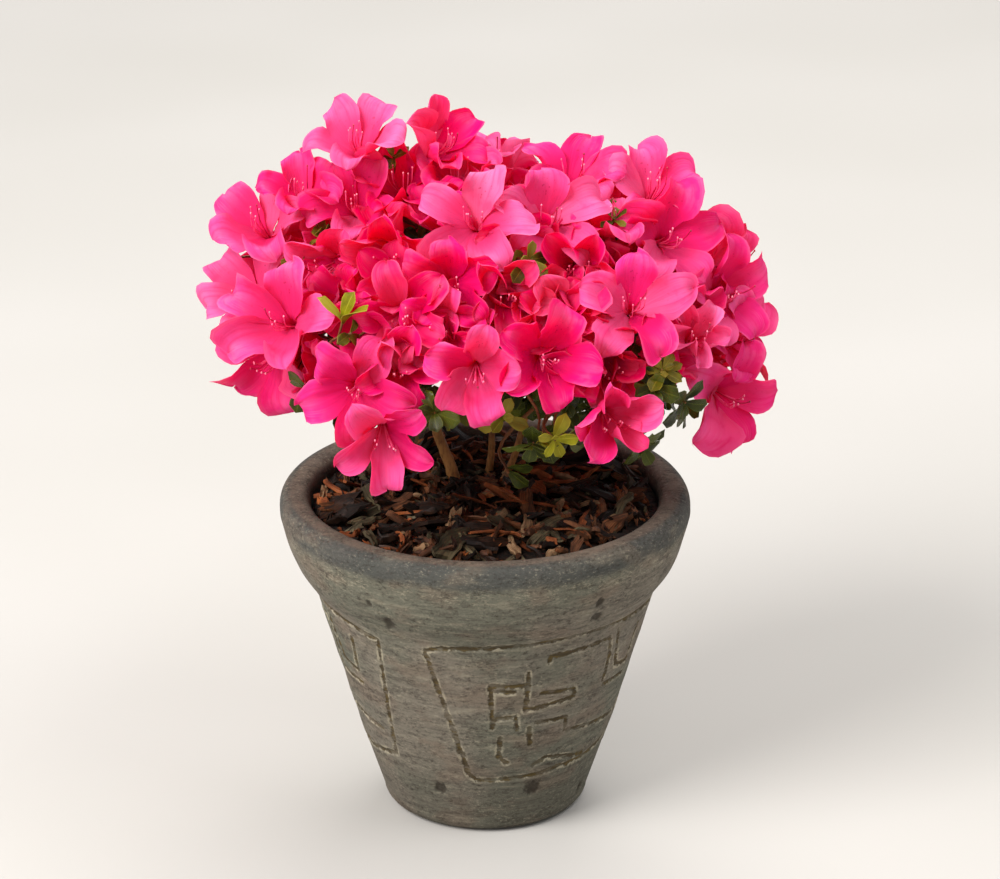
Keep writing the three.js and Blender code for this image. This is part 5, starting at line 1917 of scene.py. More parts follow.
@dataclass
class Mulch:
    """The compost and the bark chips that cover it."""

    chips: int = 560
    crumbs: int = 620
    long_share: float = 0.32
    long: tuple[float, float] = (14.0, 26.0)
    short: tuple[float, float] = (5.0, 13.0)
    width: tuple[float, float] = (0.2, 0.46)
    thickness: tuple[float, float] = (1.0, 3.4)
    strips: int = 26
    strip_length: tuple[float, float] = (15.0, 28.0)
    crease: float = 32.0
    compost_sides: int = 96
    compost_rings: int = 18

    def build(self) -> list[Piece]:
        """Models the compost and the chips, and dresses them."""
        pieces = [keep(self._compost(), SoilFinish(), ["compost"])]
        finishes = (
            ChipFinish("bark_chips_dark", paint(60, 38, 26), paint(16, 9, 6), 0.42),
            ChipFinish("bark_chips_brown", paint(128, 80, 50), paint(50, 28, 16), 0.45),
            ChipFinish("bark_chips_grey", paint(108, 96, 70), paint(46, 38, 26), 0.5),
            ChipFinish("bark_chips_red", paint(172, 98, 52), paint(92, 44, 22), 0.5),
            ChipFinish("bark_chips_pale", paint(176, 142, 106), paint(104, 76, 52), 0.55),
        )
        shares = (0.44, 0.3, 0.1, 0.11, 0.05)
        sheet, lump = Pattern.sheet(4, 7), Pattern.sheet(2, 3)
        chips = [Gathering(sheet) for _ in shares]
        crumbs = [Gathering(lump) for _ in shares]
        for i in range(self.strips):
            dice = Dice(SEED + SEED_STRIPS + i)
            chips[3].add(self._strip(sheet, dice), dice.next())
        for group, count, small in ((chips, self.chips, False), (crumbs, self.crumbs, True)):
            for i in range(count):
                dice = Dice(SEED + (SEED_CRUMBS if small else SEED_CHIPS) + i)
                kind = int(np.searchsorted(np.cumsum(shares)[:-1], dice.next()))
                group[kind].add(self._chip(group[kind].pattern, dice, small), dice.next())
        for finish, chip_group, crumb_group in zip(finishes, chips, crumbs):
            pieces.append(keep(chip_group.piece(finish.name, self.crease), finish, ["compost"]))
            name = finish.name.replace("chips", "crumbs")
            pieces.append(keep(crumb_group.piece(name, self.crease), finish, ["compost"]))
        return pieces

    def _chip(self, pattern: Pattern, dice: Dice, small: bool) -> np.ndarray:
        """Shapes one chip and lays it on the compost.

        Args:
            pattern: The sheet that it is bent from.
            dice: Its run of chances.
            small: Whether it is a crumb.

        Returns:
            The chip's points.
        """
        lengths = self.long if dice.next() < self.long_share else self.short
        length = dice.between(*lengths) * (0.35 if small else 1.0)
        width = max(length * dice.between(*self.width) * (0.8 if small else 1.0), 1.2)
        thick = dice.between(*self.thickness) * (0.5 if small else 1.0)
        steep = 0.9 if small else 0.62
        height = dice.between(0.2, 2.4) if small else dice.between(0.3, 5.2)
        return self._laid(self._shaped(pattern, dice, length, width, thick), dice, length, steep, height)

    def _strip(self, pattern: Pattern, dice: Dice) -> np.ndarray:
        """Shapes one long curved strip of bark, and lays it on top of the chips.

        Args:
            pattern: The sheet that it is bent from.
            dice: Its run of chances.

        Returns:
            The strip's points.
        """
        length = dice.between(*self.strip_length)
        shape = self._shaped(pattern, dice, length, dice.between(1.6, 3.0), dice.between(0.7, 1.3))
        shape[:, 1] += dice.between(-0.2, 0.2) * length * (2 * shape[:, 0] / length) ** 2
        return self._laid(shape, dice, length, 0.5, dice.between(4.0, 6.5))

    @staticmethod
    def _laid(shape: np.ndarray, dice: Dice, length: float, steep: float, height: float) -> np.ndarray:
        """Turns a chip over by chance and lays it on the compost.

        Args:
            shape: The chip, flat along X.
            dice: Its run of chances.
            length: Its length.
            steep: How steeply it may stand.
            height: How high above the compost's top its middle is.

        Returns:
            The chip's points.
        """
        edge = inner_radius(COMPOST_EDGE) - 2
        radius = (edge - length * 0.35) * math.sqrt(dice.next())
        angle = dice.between(0, FULL_TURN)
        middle = np.array([radius * math.cos(angle), radius * math.sin(angle), compost_top(radius) + height])
        nearest = min(math.hypot(middle[0] - stem.foot[0], middle[1] - stem.foot[1]) for stem in STEMS)
        if nearest < length / 2 + 1:
            shape = shape * 0.5
        roll, pitch = dice.between(-1, 1), dice.between(-1, 1)
        yaw = dice.between(0, FULL_TURN)
        points = shape @ turned(1.3 * steep * roll * abs(roll) ** 0.4, steep * pitch, yaw).T + middle
        out = np.hypot(points[:, 0], points[:, 1])
        limit = inner_radius(COMPOST_EDGE) - 0.8
        points[:, :2] *= np.minimum(1, limit / np.maximum(out, 1e-6))[:, None]
        return points

    @staticmethod
    def _shaped(pattern: Pattern, dice: Dice, length: float, width: float, thick: float) -> np.ndarray:
        """Bends a sheet to a splintered chip that lies flat along X.

        Args:
            pattern: The sheet.
            dice: The chip's run of chances.
            length: Its length.
            width: Its width.
            thick: Its thickness.

        Returns:
            The chip's points.
        """
        across, along, through = pattern.places.T
        end = 2 * along - 1
        phases = [dice.between(0, FULL_TURN) for _ in range(5)]
        keen = dice.next() < 0.3
        taper = 1 - (0.75 * np.abs(end) ** 1.6 if keen else dice.between(0.05, 0.4) * np.abs(end) ** 4)
        ragged = 0.13 * np.sin(along * 9 + phases[0]) + 0.09 * np.sin(along * 21 + phases[1] + 2 * across)
        broken = np.sin(across * 3.4 + phases[2]) + 0.6 * np.sin(across * 7 + phases[3])
        splinters = np.abs(end) ** 6 * broken
        x = end * length / 2 + dice.between(-0.25, 0.25) * across * width
        x = x + splinters * width * 0.22 * np.sign(end)
        y = across * width / 2 * taper * (1 + ragged * np.sign(across))
        y = y + dice.between(-0.12, 0.12) * length * end**2
        curl, arch = dice.between(-0.3, 0.7) * width * 0.4, dice.between(-0.5, 1.0) * length * 0.13
        z = curl * across**2 - arch * end**2 + 0.12 * thick * np.sin(along * 12 + 3 * across + phases[4])
        z += (through - 0.5) * thick * (1 - 0.4 * across**2) * (1 - 0.3 * end**4)
        z += (through > 0.5) * 0.22 * thick * np.sin(across * 6.5 + phases[0]) * np.cos(along * 4 + phases[2])
        twist = dice.between(-0.6, 0.6) * end
        return np.stack([x, y * np.cos(twist) - z * np.sin(twist), y * np.sin(twist) + z * np.cos(twist)], 1)

    def _compost(self) -> Piece:
        """Models the compost as a tapered plug with an uneven, mounded top.

        Returns:
            The compost.
        """
        low_radius = INNER_FLOOR_RADIUS - 2 * SEAT_GAP
        top_radius = inner_radius(COMPOST_EDGE) - 2 * SEAT_GAP
        start_fresh()
        bpy.ops.mesh.primitive_circle_add(
            vertices=self.compost_sides,
            radius=low_radius * MM,
            fill_type="NGON",
            location=(0, 0, (FLOOR_THICKNESS + SEAT_GAP) * MM),
        )
        piece = bpy.context.object
        piece.name = "compost_mound"
        bpy.ops.object.transform_apply(location=True)
        rise, scale = (COMPOST_EDGE - FLOOR_THICKNESS - SEAT_GAP) * MM, top_radius / low_radius
        with editing():
            bpy.ops.mesh.extrude_region_move(TRANSFORM_OT_translate={"value": (0, 0, rise)})
            bpy.ops.transform.resize(value=(scale, scale, 1), center_override=(0, 0, COMPOST_EDGE * MM))
            for _ in range(self.compost_rings):
                bpy.ops.mesh.inset(thickness=top_radius / (self.compost_rings + 1.5) * MM)
            bpy.ops.mesh.poke()
        for vertex in piece.data.vertices:
            x, y, z = (value / MM for value in vertex.co)
            out = math.hypot(x, y)
            if z > COMPOST_EDGE - 1 and out < top_radius - 1:
                bumps = math.sin(x / 3.2 + y / 8.3) + math.sin(y / 2.7 - x / 11)
                bumps += math.sin(x / 1.4) * math.cos(y / 1.7)
                vertex.co.z = (compost_top(out) + 0.45 * bumps) * MM
        return piece


def turned(roll: float, pitch: float, yaw: float) -> np.ndarray:
    """Gives the matrix that turns a shape about X, then Y, then Z, by angles in radians.

    Args:
        roll: The turn about X.
        pitch: The turn about Y.
        yaw: The turn about Z.

    Returns:
        The matrix.
    """
    cr, sr, cp, sp, cy, sy = (f(a) for a in (roll, pitch, yaw) for f in (math.cos, math.sin))
    about_x = np.array([[1, 0, 0], [0, cr, -sr], [0, sr, cr]])
    about_y = np.array([[cp, 0, sp], [0, 1, 0], [-sp, 0, cp]])
    about_z = np.array([[cy, -sy, 0], [sy, cy, 0], [0, 0, 1]])
    return about_z @ about_y @ about_x


@dataclass
class Woodwork:
    """The stems, boughs and twigs, with the relief of their bark."""

    plan: CrownPlan
    stem_relief: float = 0.045
    bough_relief: float = 0.04
    twig_relief: float = 0.05
    main_bough: float = 1.6
    side_bough: float = 1.3
    bough_tip: float = 1.3
    shoot_radii: tuple[float, ...] = (1.1, 0.8, 0.6)
    tuft_radii: tuple[float, ...] = (0.8, 0.6, 0.5)
    stalk_radii: tuple[float, ...] = (0.75, 0.65, 0.65, 0.65, 0.75, 1.25, 1.4, 0.7)

    def build(self) -> list[Piece]:
        """Models the wood from the ground to the stalks, and dresses it."""
        bark = BarkFinish("stem_bark", paint(168, 116, 66), paint(84, 54, 32))
        pieces = []
        for stem in STEMS:
            gathering = Gathering(Pattern.tube(18, 48))
            line = [np.array(point, float) for point in self._stem_path(stem)]
            radii = [stem.radii[0] * ROOT_FLARE * 1.06, stem.radii[0] * 1.12]
            radii += list(np.linspace(stem.radii[0], stem.radii[1], 7))
            gathering.add(swept(gathering.pattern, line, radii, self.stem_relief))
            pieces.append(keep(gathering.piece(f"{stem.name}_bark"), bark, [stem.name]))
        boughs = Gathering(Pattern.tube(10, 16))
        for mass in self.plan.masses:
            thick = self.main_bough if mass.shape.stem == "main_stem" else self.side_bough
            radii = [thick, thick, self.bough_tip]
            boughs.add(swept(boughs.pattern, self._bough_path(mass), radii, self.bough_relief))
        pieces.append(keep(boughs.piece("boughs_bark"), bark, BOUGH_NODES))
        pieces.append(self._twigs())
        pieces.append(self._stalks())
        return pieces

    @staticmethod
    def _stem_path(stem: StemShape) -> list[Sequence[float]]:
        """Gives the line of a stem, from just under the compost's top to where it forks.

        Args:
            stem: The stem.

        Returns:
            The line's points.
        """
        low = np.array([*stem.foot, compost_top(0) - STEM_START], float)
        high = np.array(stem.top, float)
        middle = (low + high) / 2 + np.array([stem.bow, 0, 0])
        return [low, (low + middle) / 2 + np.array([0.6, -0.4, 0]), middle, (middle + high) / 2, high]

    def _bough_path(self, mass: Mass) -> list[Point]:
        """Gives the line of the bough that carries a mass.

        Args:
            mass: The mass.

        Returns:
            The line's points.
        """
        stem = next(stem for stem in STEMS if stem.name == mass.shape.stem)
        start = flowing(self._stem_path(stem), np.array([mass.shape.leaves]))[0]
        middle = start + (mass.root - start) * BOUGH_ARCH_AT
        middle[2] += BOUGH_ARCH_RISE * np.linalg.norm(mass.root - start)
        return [start, middle, mass.root]

    def _twigs(self) -> Piece:
        """Models the twigs that carry the trusses and shoots.

        Returns:
            The twigs.
        """
        bark = BarkFinish("twig_bark", paint(118, 72, 40), paint(72, 42, 28))
        twigs = Gathering(Pattern.tube(6, 8))
        for mass in self.plan.masses:
            line = [mass.root, mass.hub]
            twigs.add(swept(twigs.pattern, line, [TWIG_RADIUS, TWIG_RADIUS], self.twig_relief))
            for truss in mass.trusses:
                middle = (mass.hub + truss.at) / 2 + np.array([0, 0, 1.5])
                line = [mass.hub, middle, truss.at]
                twigs.add(swept(twigs.pattern, line, [TWIG_RADIUS, 1.0], self.twig_relief))
            for shoot in mass.shoots:
                twigs.add(swept(twigs.pattern, shoot.line, self.shoot_radii, self.twig_relief))
        for tuft in TUFTS:
            at = from_picture(tuft.across, tuft.up, tuft.sink)
            line = self.plan.tuft_line(at, heading(tuft.bearing, tuft.lift))
            twigs.add(swept(twigs.pattern, line, self.tuft_radii, self.twig_relief))
        return keep(twigs.piece("twigs_bark"), bark, CROWN_NODES)

    def _stalks(self) -> Piece:
        """Models the stalk of each bloom, with the small green cup at its end.

        Returns:
            The stalks.
        """
        green = PlainFinish("stalk_green", paint(122, 112, 44), paint(96, 62, 36), 0.5)
        stalks = Gathering(Pattern.tube(6, 10))
        for mass in self.plan.masses:
            for truss in mass.trusses:
                for bloom in truss.blooms:
                    end = bloom.base + bloom.face * 0.5
                    behind = bloom.base - bloom.face * 0.4 * np.linalg.norm(bloom.base - truss.at)
                    line = [truss.at, (truss.at + behind) / 2, behind * 0.5 + bloom.base * 0.5, end]
                    stalks.add(swept(stalks.pattern, line, self.stalk_radii))
        return keep(stalks.piece("flower_stalks"), green, CROWN_NODES)


class PetalTraits(NamedTuple):
    """What sets one petal apart from the next."""

    flare: float
    length: float
    breadth: float
    point: float
    curl: float
    cup: float
    ripple: float
    waves: float
    phase: float
    lean: float
    bend: float
    off_line: float
    roll: float
    fold: float

    @classmethod
    def drawn(cls, bloom: Bloom, dice: Dice) -> "PetalTraits":
        """Draws a petal's traits.

        Args:
            bloom: The bloom that it belongs to.
            dice: The bloom's run of chances.

        Returns:
            The traits, with angles in radians.
        """
        more_flare, cup, recurve, stretch = bloom.habit.value
        folded = dice.next() < 0.16
        return cls(
            flare=math.radians(bloom.flare + more_flare + dice.between(-18, 8)),
            length=LOBE * bloom.width * stretch * dice.between(0.94, 1.15),
            breadth=bloom.width * dice.between(0.186, 0.238),
            point=dice.between(0.3, 1.15),
            curl=recurve * dice.between(0.2, 2.0),
            cup=cup * dice.between(0.3, 1.6) + 0.42 * folded,
            ripple=dice.between(0.7, 2.2),
            waves=dice.between(0.8, 1.7),
            phase=dice.between(0, FULL_TURN),
            lean=dice.between(-0.9, 0.9),
            bend=dice.between(-3.6, 3.6),
            off_line=math.radians(dice.between(-5, 5)),
            roll=dice.between(-0.4, 0.75),
            fold=dice.between(-0.04, 0.34),
        )


@dataclass
class Blossom:
    """The petals, stamens and styles of the whole crown."""

    plan: CrownPlan
    across: int = 12
    along: int = 18
    inner_count: int = 84
    inner_share: tuple[float, float] = (0.74, 0.87)
    inner_apart: float = 16.0
    inner_under: float = 10.5
    inner_stride: int = 89
    inner_foot: float = 6.0
    inner_width: tuple[float, float] = (38.0, 43.0)
    inner_flare: tuple[float, float] = (52.0, 70.0)
    thickness: float = 0.3

    def build(self) -> list[Piece]:
        """Models every part of the blooms, and dresses it."""
        outer, inner = Pattern.sheet(self.across, self.along), Pattern.sheet(7, 10)
        petals = {tint: Gathering(outer) for tint in Tint}
        under = {tint: Gathering(inner) for tint in (Tint.RICH, Tint.DEEP)}
        for i, bloom in enumerate(self.plan.blooms):
            dice = Dice(SEED + SEED_PETALS + i)
            for k in range(PETALS):
                spots = (1.0, 0.35, 0.0, 0.0, 0.35)[k]
                petals[bloom.tint].add(self._petal(outer, bloom, k, dice), dice.next(), spots)
        for i, bloom in enumerate(self._inner_blooms()):
            dice = Dice(SEED + SEED_INNER_PETALS + i)
            for k in range(PETALS):
                # Painted shade: the tones of the inner petals stop at 0.7, so they come out deeper than the
                # outer ones.
                under[bloom.tint].add(self._petal(inner, bloom, k, dice), 0.7 * dice.next())
        pieces = []
        for tint, gathering in petals.items():
            name = f"petals_{tint.name.lower()}"
            pieces.append(self._kept(gathering, name, PetalFinish(name, paint(*tint.value))))
        for tint, gathering in under.items():
            name = f"inner_petals_{tint.name.lower()}"
            pieces.append(self._kept(gathering, name, PetalFinish(name, paint(*tint.value))))
        pieces += self._hearts()
        return pieces

    @staticmethod
    def _kept(gathering: Gathering, name: str, finish: object) -> Piece:
        """Joins a gathering, dresses it and lets it stand for the masses."""
        return keep(gathering.piece(name), finish, CROWN_NODES)

    def _inner_blooms(self) -> list[Bloom]:
        """Places blooms deeper in the crown, behind the gaps between those of its shell.

        Returns:
            The blooms.
        """
        found: list[Bloom] = []
        for i in range(FILL_CANDIDATES):
            if len(found) == self.inner_count:
                break
            bearing, lift = evenly((i * self.inner_stride) % FILL_CANDIDATES, FILL_CANDIDATES)
            dice = Dice(SEED + SEED_INNER + i)
            way = heading(bearing, lift)
            if lift < foot_lift(bearing) - self.inner_foot:
                continue
            at = in_crown(way, dice.between(*self.inner_share))
            nearest = min(np.linalg.norm(bloom.at - in_crown(way, 0.97)) for bloom in self.plan.blooms)
            apart = min([np.linalg.norm(other.at - at) for other in found], default=99.0)
            if nearest < self.inner_under or apart < self.inner_apart:
                continue
            face = heading(bearing + dice.between(-25, 25), lift + dice.between(-20, 20))
            # Painted shade: blooms deep in the crown take only the rich and deep tints.
            tint = dice.pick((Tint.RICH, Tint.DEEP))
            spin = dice.between(0, 360 / PETALS)
            bloom = Bloom(at, face, spin, dice.between(*self.inner_width), tint, Habit.CUPPED)
            bloom.flare = dice.between(*self.inner_flare)
            found.append(bloom)
        LOG.info("inner blooms: %d", len(found))
        return found

    def _petal(self, pattern: Pattern, bloom: Bloom, k: int, dice: Dice) -> np.ndarray:
        """Shapes one petal of a bloom, from the tube's base to the lobe's tip.

        Args:
            pattern: The sheet that it is bent from.
            bloom: The bloom.
            k: Which of its petals this is.
            dice: The bloom's run of chances.

        Returns:
            The petal's points.
        """
        traits = PetalTraits.drawn(bloom, dice)
        u, v, through = pattern.places.T
        t = 1 - (1 - v) ** 1.65
        profile, normal = self._profile(bloom, traits, t)
        s = np.clip((t - SINUS) / (1 - SINUS), 0, 1)
        half = self._half_width(u, s, traits)
        joint = np.clip((t - SINUS + 0.08) / 0.1, 0, 1)
        spread = math.radians(39) * (1 - joint) + half / np.maximum(profile[:, 0], 1.0) * joint
        rise = self._relief(u, t, s, half, traits) + (through - 0.5) * self.thickness * (1 - 0.4 * s)
        radius = profile[:, 0] + normal[:, 0] * rise
        forward = profile[:, 1] + normal[:, 1] * rise
        turn = math.radians(bloom.spin + 360 / PETALS * k) + traits.off_line + u * spread
        turn = turn + traits.bend * s**2 / np.maximum(profile[:, 0], 4)
        up, right = sight_lines(bloom.face)
        outward = up[None] * np.cos(turn)[:, None] + right[None] * np.sin(turn)[:, None]
        return bloom.at + outward * radius[:, None] + bloom.face * forward[:, None]

    @staticmethod
    def _profile(bloom: Bloom, traits: PetalTraits, t: np.ndarray) -> tuple[np.ndarray, np.ndarray]:
        """Gives the line of a petal from the side.

        Args:
            bloom: The bloom.
            traits: What sets the petal apart.
            t: Places along it.

        Returns:
            The radius and height at each place, and the direction square to the petal there.
        """
        mouth, lobe, curl = MOUTH * bloom.width, traits.length, traits.curl
        sine, cosine = math.sin(traits.flare), math.cos(traits.flare)
        arch = 1.2 + 0.3 * curl
        line = [
            (0.15, -TUBE),
            (1.7, -TUBE * 0.7),
            (3.1, -TUBE * 0.38),
            (mouth * 0.64, -2.8),
            (mouth + 0.16 * lobe * sine, 0.16 * lobe * cosine + 0.3 * arch),
            (mouth + 0.46 * lobe * sine, 0.46 * lobe * cosine + arch),
            (mouth + 0.76 * lobe * sine, 0.76 * lobe * cosine + 0.75 * arch),
            (mouth + lobe * sine, lobe * cosine - TIP_DROP - curl),
        ]
        places = [np.clip(t + step, 0, 1) for step in (0.0, -0.01, 0.01)]
        here, behind, ahead = (flowing(line, place) for place in places)
        slope = ahead - behind
        slope /= np.linalg.norm(slope, axis=1)[:, None]
        return here, np.stack([-slope[:, 1], slope[:, 0]], 1)

    @staticmethod
    def _half_width(u: np.ndarray, s: np.ndarray, traits: PetalTraits) -> np.ndarray:
        """Gives half the width of a lobe, whose two sides differ a little.

        Args:
            u: Places across it.
            s: Places along it.
            traits: What sets the petal apart.

        Returns:
            The half width at each place.
        """
        peak = 0.55
        rising = 0.36 + 0.64 * np.sin(np.pi / 2 * np.minimum(s / peak, 1))
        rest = np.clip((s - peak) / (1 - peak), 0, 1)
        blunt, keen = (1 - rest**2.4) ** 0.55, (1 - rest**1.6) ** 0.85
        outline = np.where(s < peak, rising, blunt + (keen - blunt) * traits.point)
        side = traits.phase + 2.4 * np.sign(u)
        outline = outline * (1 + 0.045 * np.sin(7 * s + side) + 0.02 * np.sin(16 * s + 2 * side))
        return traits.breadth * np.maximum(outline, 0.02)

    @staticmethod
    def _relief(
        u: np.ndarray, t: np.ndarray, s: np.ndarray, half: np.ndarray, traits: PetalTraits
    ) -> np.ndarray:
        """Gives how far a petal stands off its line: its cup, its midline, its pleats and wavy margin.

        Args:
            u: Places across it.
            t: Places along it.
            s: Places along its lobe.
            half: Half its width at each place.
            traits: What sets the petal apart.

        Returns:
            The rise at each place.
        """
        lobe = np.clip(s * 1.6, 0, 1)
        side = traits.phase + 2.1 * (u > 0)
        waves = np.sin(FULL_TURN * traits.waves * s + side) + 0.6 * np.sin(FULL_TURN * 2.3 * s + 2 * side)
        rise = traits.cup * half * u**2 + traits.ripple * np.abs(u) ** 2.2 * waves
        fold_side = math.copysign(1, math.sin(traits.phase))
        rise = rise + traits.roll * half * np.clip(u * fold_side - 0.2, 0, 1) ** 1.5
        rise = rise + 0.5 * np.sin(FULL_TURN * (0.9 * s + 0.35 * u) + 3 * traits.phase) * s
        rise = rise + traits.fold * half * np.sqrt(u**2 + 0.01)
        rise = rise - 0.8 * np.exp(-((u / 0.2) ** 2)) * (1 - 0.5 * s)
        rise = rise + 0.2 * np.cos(10 * u + traits.phase) * (1 - 0.6 * s)
        return (rise + traits.lean * u * half * 0.35) * lobe + 0.5 * u * np.clip(t / 0.3, 0, 1)

    def _hearts(self) -> list[Piece]:
        """Models the stamens and styles of the outer blooms.

        Returns:
            The pieces.
        """
        thread, bead = Pattern.tube(4, 6), Pattern.bead(6, 4)
        filaments, styles = Gathering(thread), Gathering(thread)
        anthers, stigmas = Gathering(bead), Gathering(bead)
        for i, bloom in enumerate(self.plan.blooms):
            dice = Dice(SEED + SEED_HEARTS + i)
            up, right = sight_lines(bloom.face)
            sag = unit(np.array([0, 0, -1.0]) + bloom.face * bloom.face[2])
            for k in range(6):
                angle = dice.between(-1.9, 1.9) + math.pi
                side = up * math.cos(angle) + right * math.sin(angle)
                is_style = k == 5
                reach = dice.between(7, 12) + 4.5 * is_style
                out = dice.between(1.6, 4.2)
                line = [
                    bloom.at - bloom.face * 10 + side * 0.6,
                    bloom.at - bloom.face * 2 + side * out * 0.7 + sag * 1.0,
                    bloom.at + bloom.face * reach * 0.55 + side * out * 1.2 + sag * 1.2,
                    bloom.at + bloom.face * reach + side * out * 1.3 - sag * dice.between(0.5, 3.0),
                ]
                group, tips = (styles, stigmas) if is_style else (filaments, anthers)
                group.add(swept(thread, line, [0.34, 0.28, 0.24]))
                tips.add(bead.places * 0.42 * np.array([1, 1, 1.3]) + line[-1])
        pink = PlainFinish("stamen_threads", paint(250, 96, 152), paint(238, 40, 108), 0.4, 0.2)
        red = PlainFinish("style_threads", paint(206, 10, 70), paint(170, 6, 56), 0.4)
        pale = PlainFinish("anther_tips", paint(250, 140, 166), paint(226, 84, 124), 0.6)
        dark = PlainFinish("stigma_tips", paint(180, 30, 60), paint(140, 20, 44), 0.5)
        named = (
            ("filaments", filaments, pink),
            ("styles", styles, red),
            ("anthers", anthers, pale),
            ("stigmas", stigmas, dark),
        )
        return [self._kept(group, name, finish) for name, group, finish in named]


def veils_stems(point: Point) -> bool:
    """Tells whether a point would hide the bare stems under the crown from the viewer.

    Args:
        point: The point.

    Returns:
        Whether it would.
    """
    e = math.radians(VIEW_LIFT)
    up = (point[2] - POT_HEIGHT) * math.cos(e) + point[1] * math.sin(e)
    return up < BARE_TOP and BARE_SIDES[0] < point[0] < BARE_SIDES[1]


@dataclass(frozen=True)
class Whorl:
    """How the leaves of a whorl are set, from its outermost to its innermost."""

    spread: float
    closing: float
    scatter: float
    size: float
    shrinking: float
    sizes: tuple[float, float]
    rise: float
    narrowing: float = 1.0

    def leaves(
        self, at: Point, toward: Point, count: int, scale: float, dice: Dice
    ) -> Iterator[tuple[Point, Point, float]]:
        """Gives where each leaf springs, which way it points, and how large it is.

        Args:
            at: Where the whorl is.
            toward: Which way its shoot points.
            count: How many leaves it has.
            scale: How large its leaves are next to other whorls.
            dice: Its run of chances.

        Yields:
            The place, the direction and the size of one leaf.
        """
        up, right = sight_lines(toward)
        first = dice.between(0, FULL_TURN)
        for k in range(count):
            share = k / count
            around = first + k * math.radians(GOLDEN_ANGLE)
            scatter = dice.between(-self.scatter, self.scatter)
            spread = math.radians((self.spread - self.closing * share) * self.narrowing + scatter)
            aside = up * math.cos(around) + right * math.sin(around)
            way = unit(toward * math.cos(spread) + aside * math.sin(spread))
            size = scale * (self.size - self.shrinking * share) * dice.between(*self.sizes)
            yield at - toward * self.rise * (1 - share), way, size


